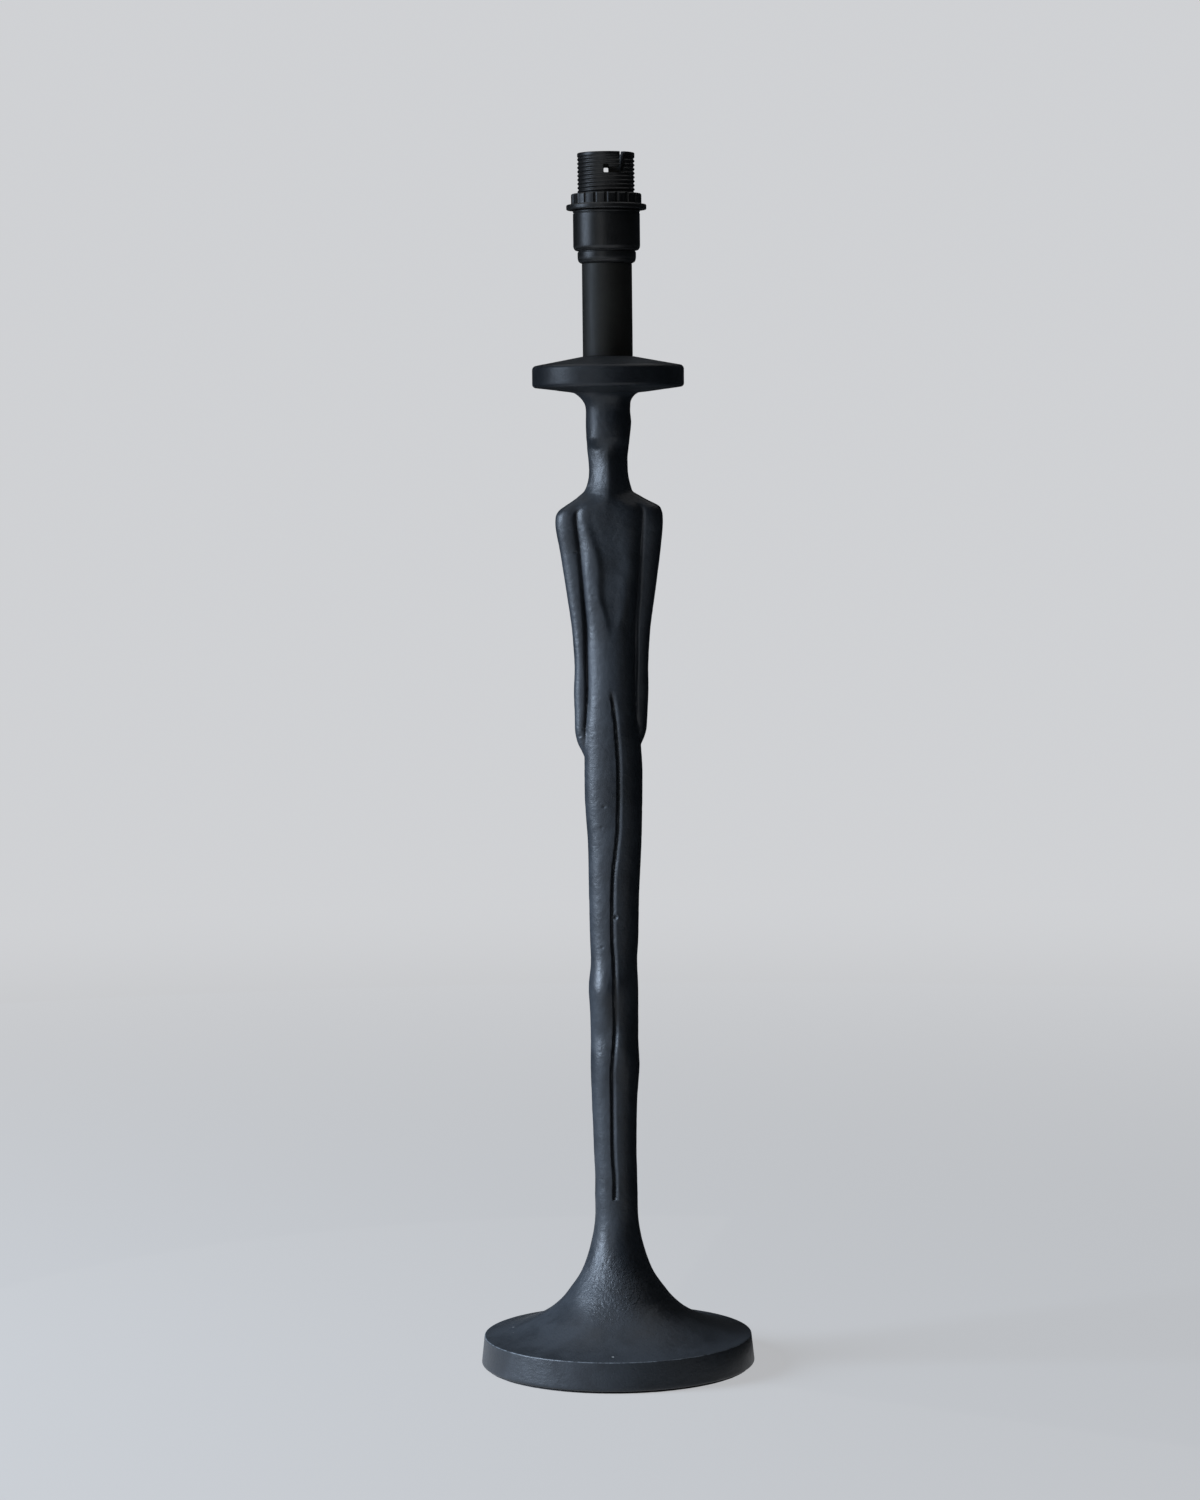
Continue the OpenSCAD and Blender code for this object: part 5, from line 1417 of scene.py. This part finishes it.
class LAMP_OT_stage(bpy.types.Operator):
    """Sets the pale floor, the soft light and the camera"""
    bl_idname = "lamp.stage"
    bl_label = "Stage"

    def execute(self, context):
        settings = context.scene.lamp_stage
        self.make_floor(settings)
        self.make_world(context, settings)
        self.make_light(context, settings)
        self.make_cards()
        self.make_camera(context, settings)
        context.scene.view_settings.view_transform = "Standard"
        return {"FINISHED"}

    def make_floor(self, settings):
        rings, sides = np.linspace(0.2, 9, 24), 96
        points = [
            (r * math.cos(2 * math.pi * i / sides), r * math.sin(2 * math.pi * i / sides), 0)
            for r in rings for i in range(sides)] + [(0, 0, 0)]
        faces = []
        for i in range(sides):
            k = (i + 1) % sides
            faces.append((len(points) - 1, i, k))
            faces += [
                (j * sides + i, (j + 1) * sides + i, (j + 1) * sides + k, j * sides + k)
                for j in range(len(rings) - 1)]
        floor = mesh_object("floor", points, faces, smooth=False)
        material, tree, shader = new_material("pale_floor", Roughness=0.9, Specular_IOR_Level=0.1)
        place = object_coordinates(tree)
        slow = noise(tree, place, 3.0, 3, 0.5)
        pale = np.array(settings.floor)
        feed(tree, shader, Base_Color=blend_colour(
            tree, slow, colour(pale * 0.985), colour(np.minimum(pale * 1.015, 1))))
        # Seen far off, the floor fades into the plain pale surround
        away = vector_math(tree, "LENGTH", {0: place}, "Value")
        fade = times(tree, span(tree, away, 0.15, 2.2, 0.72, 1.0), seen_directly(tree))
        plain = put(tree, "ShaderNodeEmission", {"Color": SURROUND, "Strength": 1.0}).outputs[0]
        end_material(tree, mix_shaders(tree, fade, shader.outputs[0], plain))
        floor.data.materials.append(material)

    def make_world(self, context, settings):
        world = bpy.data.worlds.new("studio")
        context.scene.world = world
        world.use_nodes = True
        tree = world.node_tree
        tree.nodes.clear()
        lit, seen = (
            put(tree, "ShaderNodeBackground", {"Color": tone, "Strength": strength}).outputs[0]
            for tone, strength in ((grey(1), settings.surround), (SURROUND, 1.0)))
        mixed = mix_shaders(tree, seen_directly(tree), lit, seen)
        tree.links.new(mixed, put(tree, "ShaderNodeOutputWorld").inputs[0])

    def make_light(self, context, settings):
        light = bpy.data.lights.new("window_light", "AREA")
        light.shape = "RECTANGLE"
        light.size, light.size_y = 0.95, 1.1
        light.energy, light.color = settings.key_power, (0.66, 0.80, 1.0)
        window = bpy.data.objects.new("window_light", light)
        context.scene.collection.objects.link(window)
        window.location = (-1.8, -0.42, 0.9)
        way = Vector((0, 0, 0.25)) - window.location
        window.rotation_euler = way.to_track_quat("-Z", "Y").to_euler()

    def make_cards(self):
        # A dark card that keeps the right side in shade, out of the camera's sight
        material, _, _ = dull_material("dark_card", 20.0, 0.02, 0.03)
        far = 1.5
        unseen("dark_card", *arc_band(-100, 168, [(far, 0.0), (far, 1.9)]), material)
        # A dark flag on the floor behind the lamp and close on its right, which throws no shadow
        points, faces, lift = [], [], 0.004
        for start, end, near, far in ((-40, 200, 0.4, 1.49), (-35, 80, 0.085, 0.4)):
            more, round_faces = arc_band(start, end, [(far, lift), (near, lift)])
            faces += [tuple(len(points) + i for i in face) for face in round_faces]
            points += more
        unseen("dark_flag", points, faces, material, shadow=False)
        # A thin scrim that takes some of the window's light off the disc and what stands on it
        material, tree, shader = dull_material("scrim", 60.0, 0.03, 0.05)
        clear = put(tree, "ShaderNodeBsdfTransparent").outputs[0]
        end_material(tree, mix_shaders(tree, 0.8, clear, shader.outputs[0]))
        points = [(-0.19 + 0.06 * k, -0.07 - 0.16 * k, z) for k in (-1, 1) for z in (0.486, 0.72)]
        unseen("scrim", points, [(0, 2, 3, 1)], material)

    def make_camera(self, context, settings):
        camera = bpy.data.cameras.new("camera")
        camera.lens = settings.focal_length
        camera.sensor_width = 36
        holder = bpy.data.objects.new("camera", camera)
        context.scene.collection.objects.link(holder)
        holder.location = (0, -2.003, 0.4552)
        turn = Matrix.Rotation(math.radians(0.172), 4, "Z")
        pitch = Matrix.Rotation(math.radians(90 - 4.06), 4, "X")
        roll = Matrix.Rotation(math.radians(-0.61), 4, "Z")
        holder.rotation_euler = (turn @ pitch @ roll).to_euler()
        context.scene.camera = holder


class LAMP_PT_sidebar(bpy.types.Panel):
    """Lists the lamp base's pieces and their settings"""
    bl_idname = "LAMP_PT_sidebar"
    bl_label = "Lamp Base"
    bl_space_type = "VIEW_3D"
    bl_region_type = "UI"
    bl_category = "Lamp Base"

    def draw(self, context):
        for operator, settings in PIECES:
            box = self.layout.box()
            box.operator(operator.bl_idname)
            if settings:
                group = getattr(context.scene, settings)
                for key in group.bl_rna.properties.keys():
                    if key not in ("rna_type", "name"):
                        box.prop(group, key)


PIECES = [
    (LAMP_OT_casting, "lamp_casting"),
    (LAMP_OT_candle_tube, "lamp_tube"),
    (LAMP_OT_lampholder, "lamp_lampholder"),
    (LAMP_OT_springs, None),
    (LAMP_OT_felt_pad, None),
    (LAMP_OT_inlet_bush, None),
    (LAMP_OT_inner_parts, None),
    (LAMP_OT_stage, "lamp_stage"),
]
SETTINGS = {
    "lamp_casting": CastingSettings, "lamp_tube": TubeSettings,
    "lamp_lampholder": LampholderSettings, "lamp_stage": StageSettings,
}
CLASSES = [*SETTINGS.values(), *(operator for operator, _ in PIECES), LAMP_PT_sidebar]


def register():
    for item in CLASSES:
        bpy.utils.register_class(item)
    for name, group in SETTINGS.items():
        setattr(bpy.types.Scene, name, PointerProperty(type=group))


def unregister():
    for name in SETTINGS:
        delattr(bpy.types.Scene, name)
    for item in reversed(CLASSES):
        bpy.utils.unregister_class(item)


def main():
    register()
    bpy.ops.lamp.stage()
    bpy.ops.lamp.casting()
    bpy.ops.lamp.candle_tube()
    bpy.ops.lamp.lampholder()
    bpy.ops.lamp.springs()
    bpy.ops.lamp.felt_pad()
    bpy.ops.lamp.inlet_bush()
    bpy.ops.lamp.inner_parts()


if __name__ == "__main__":
    main()
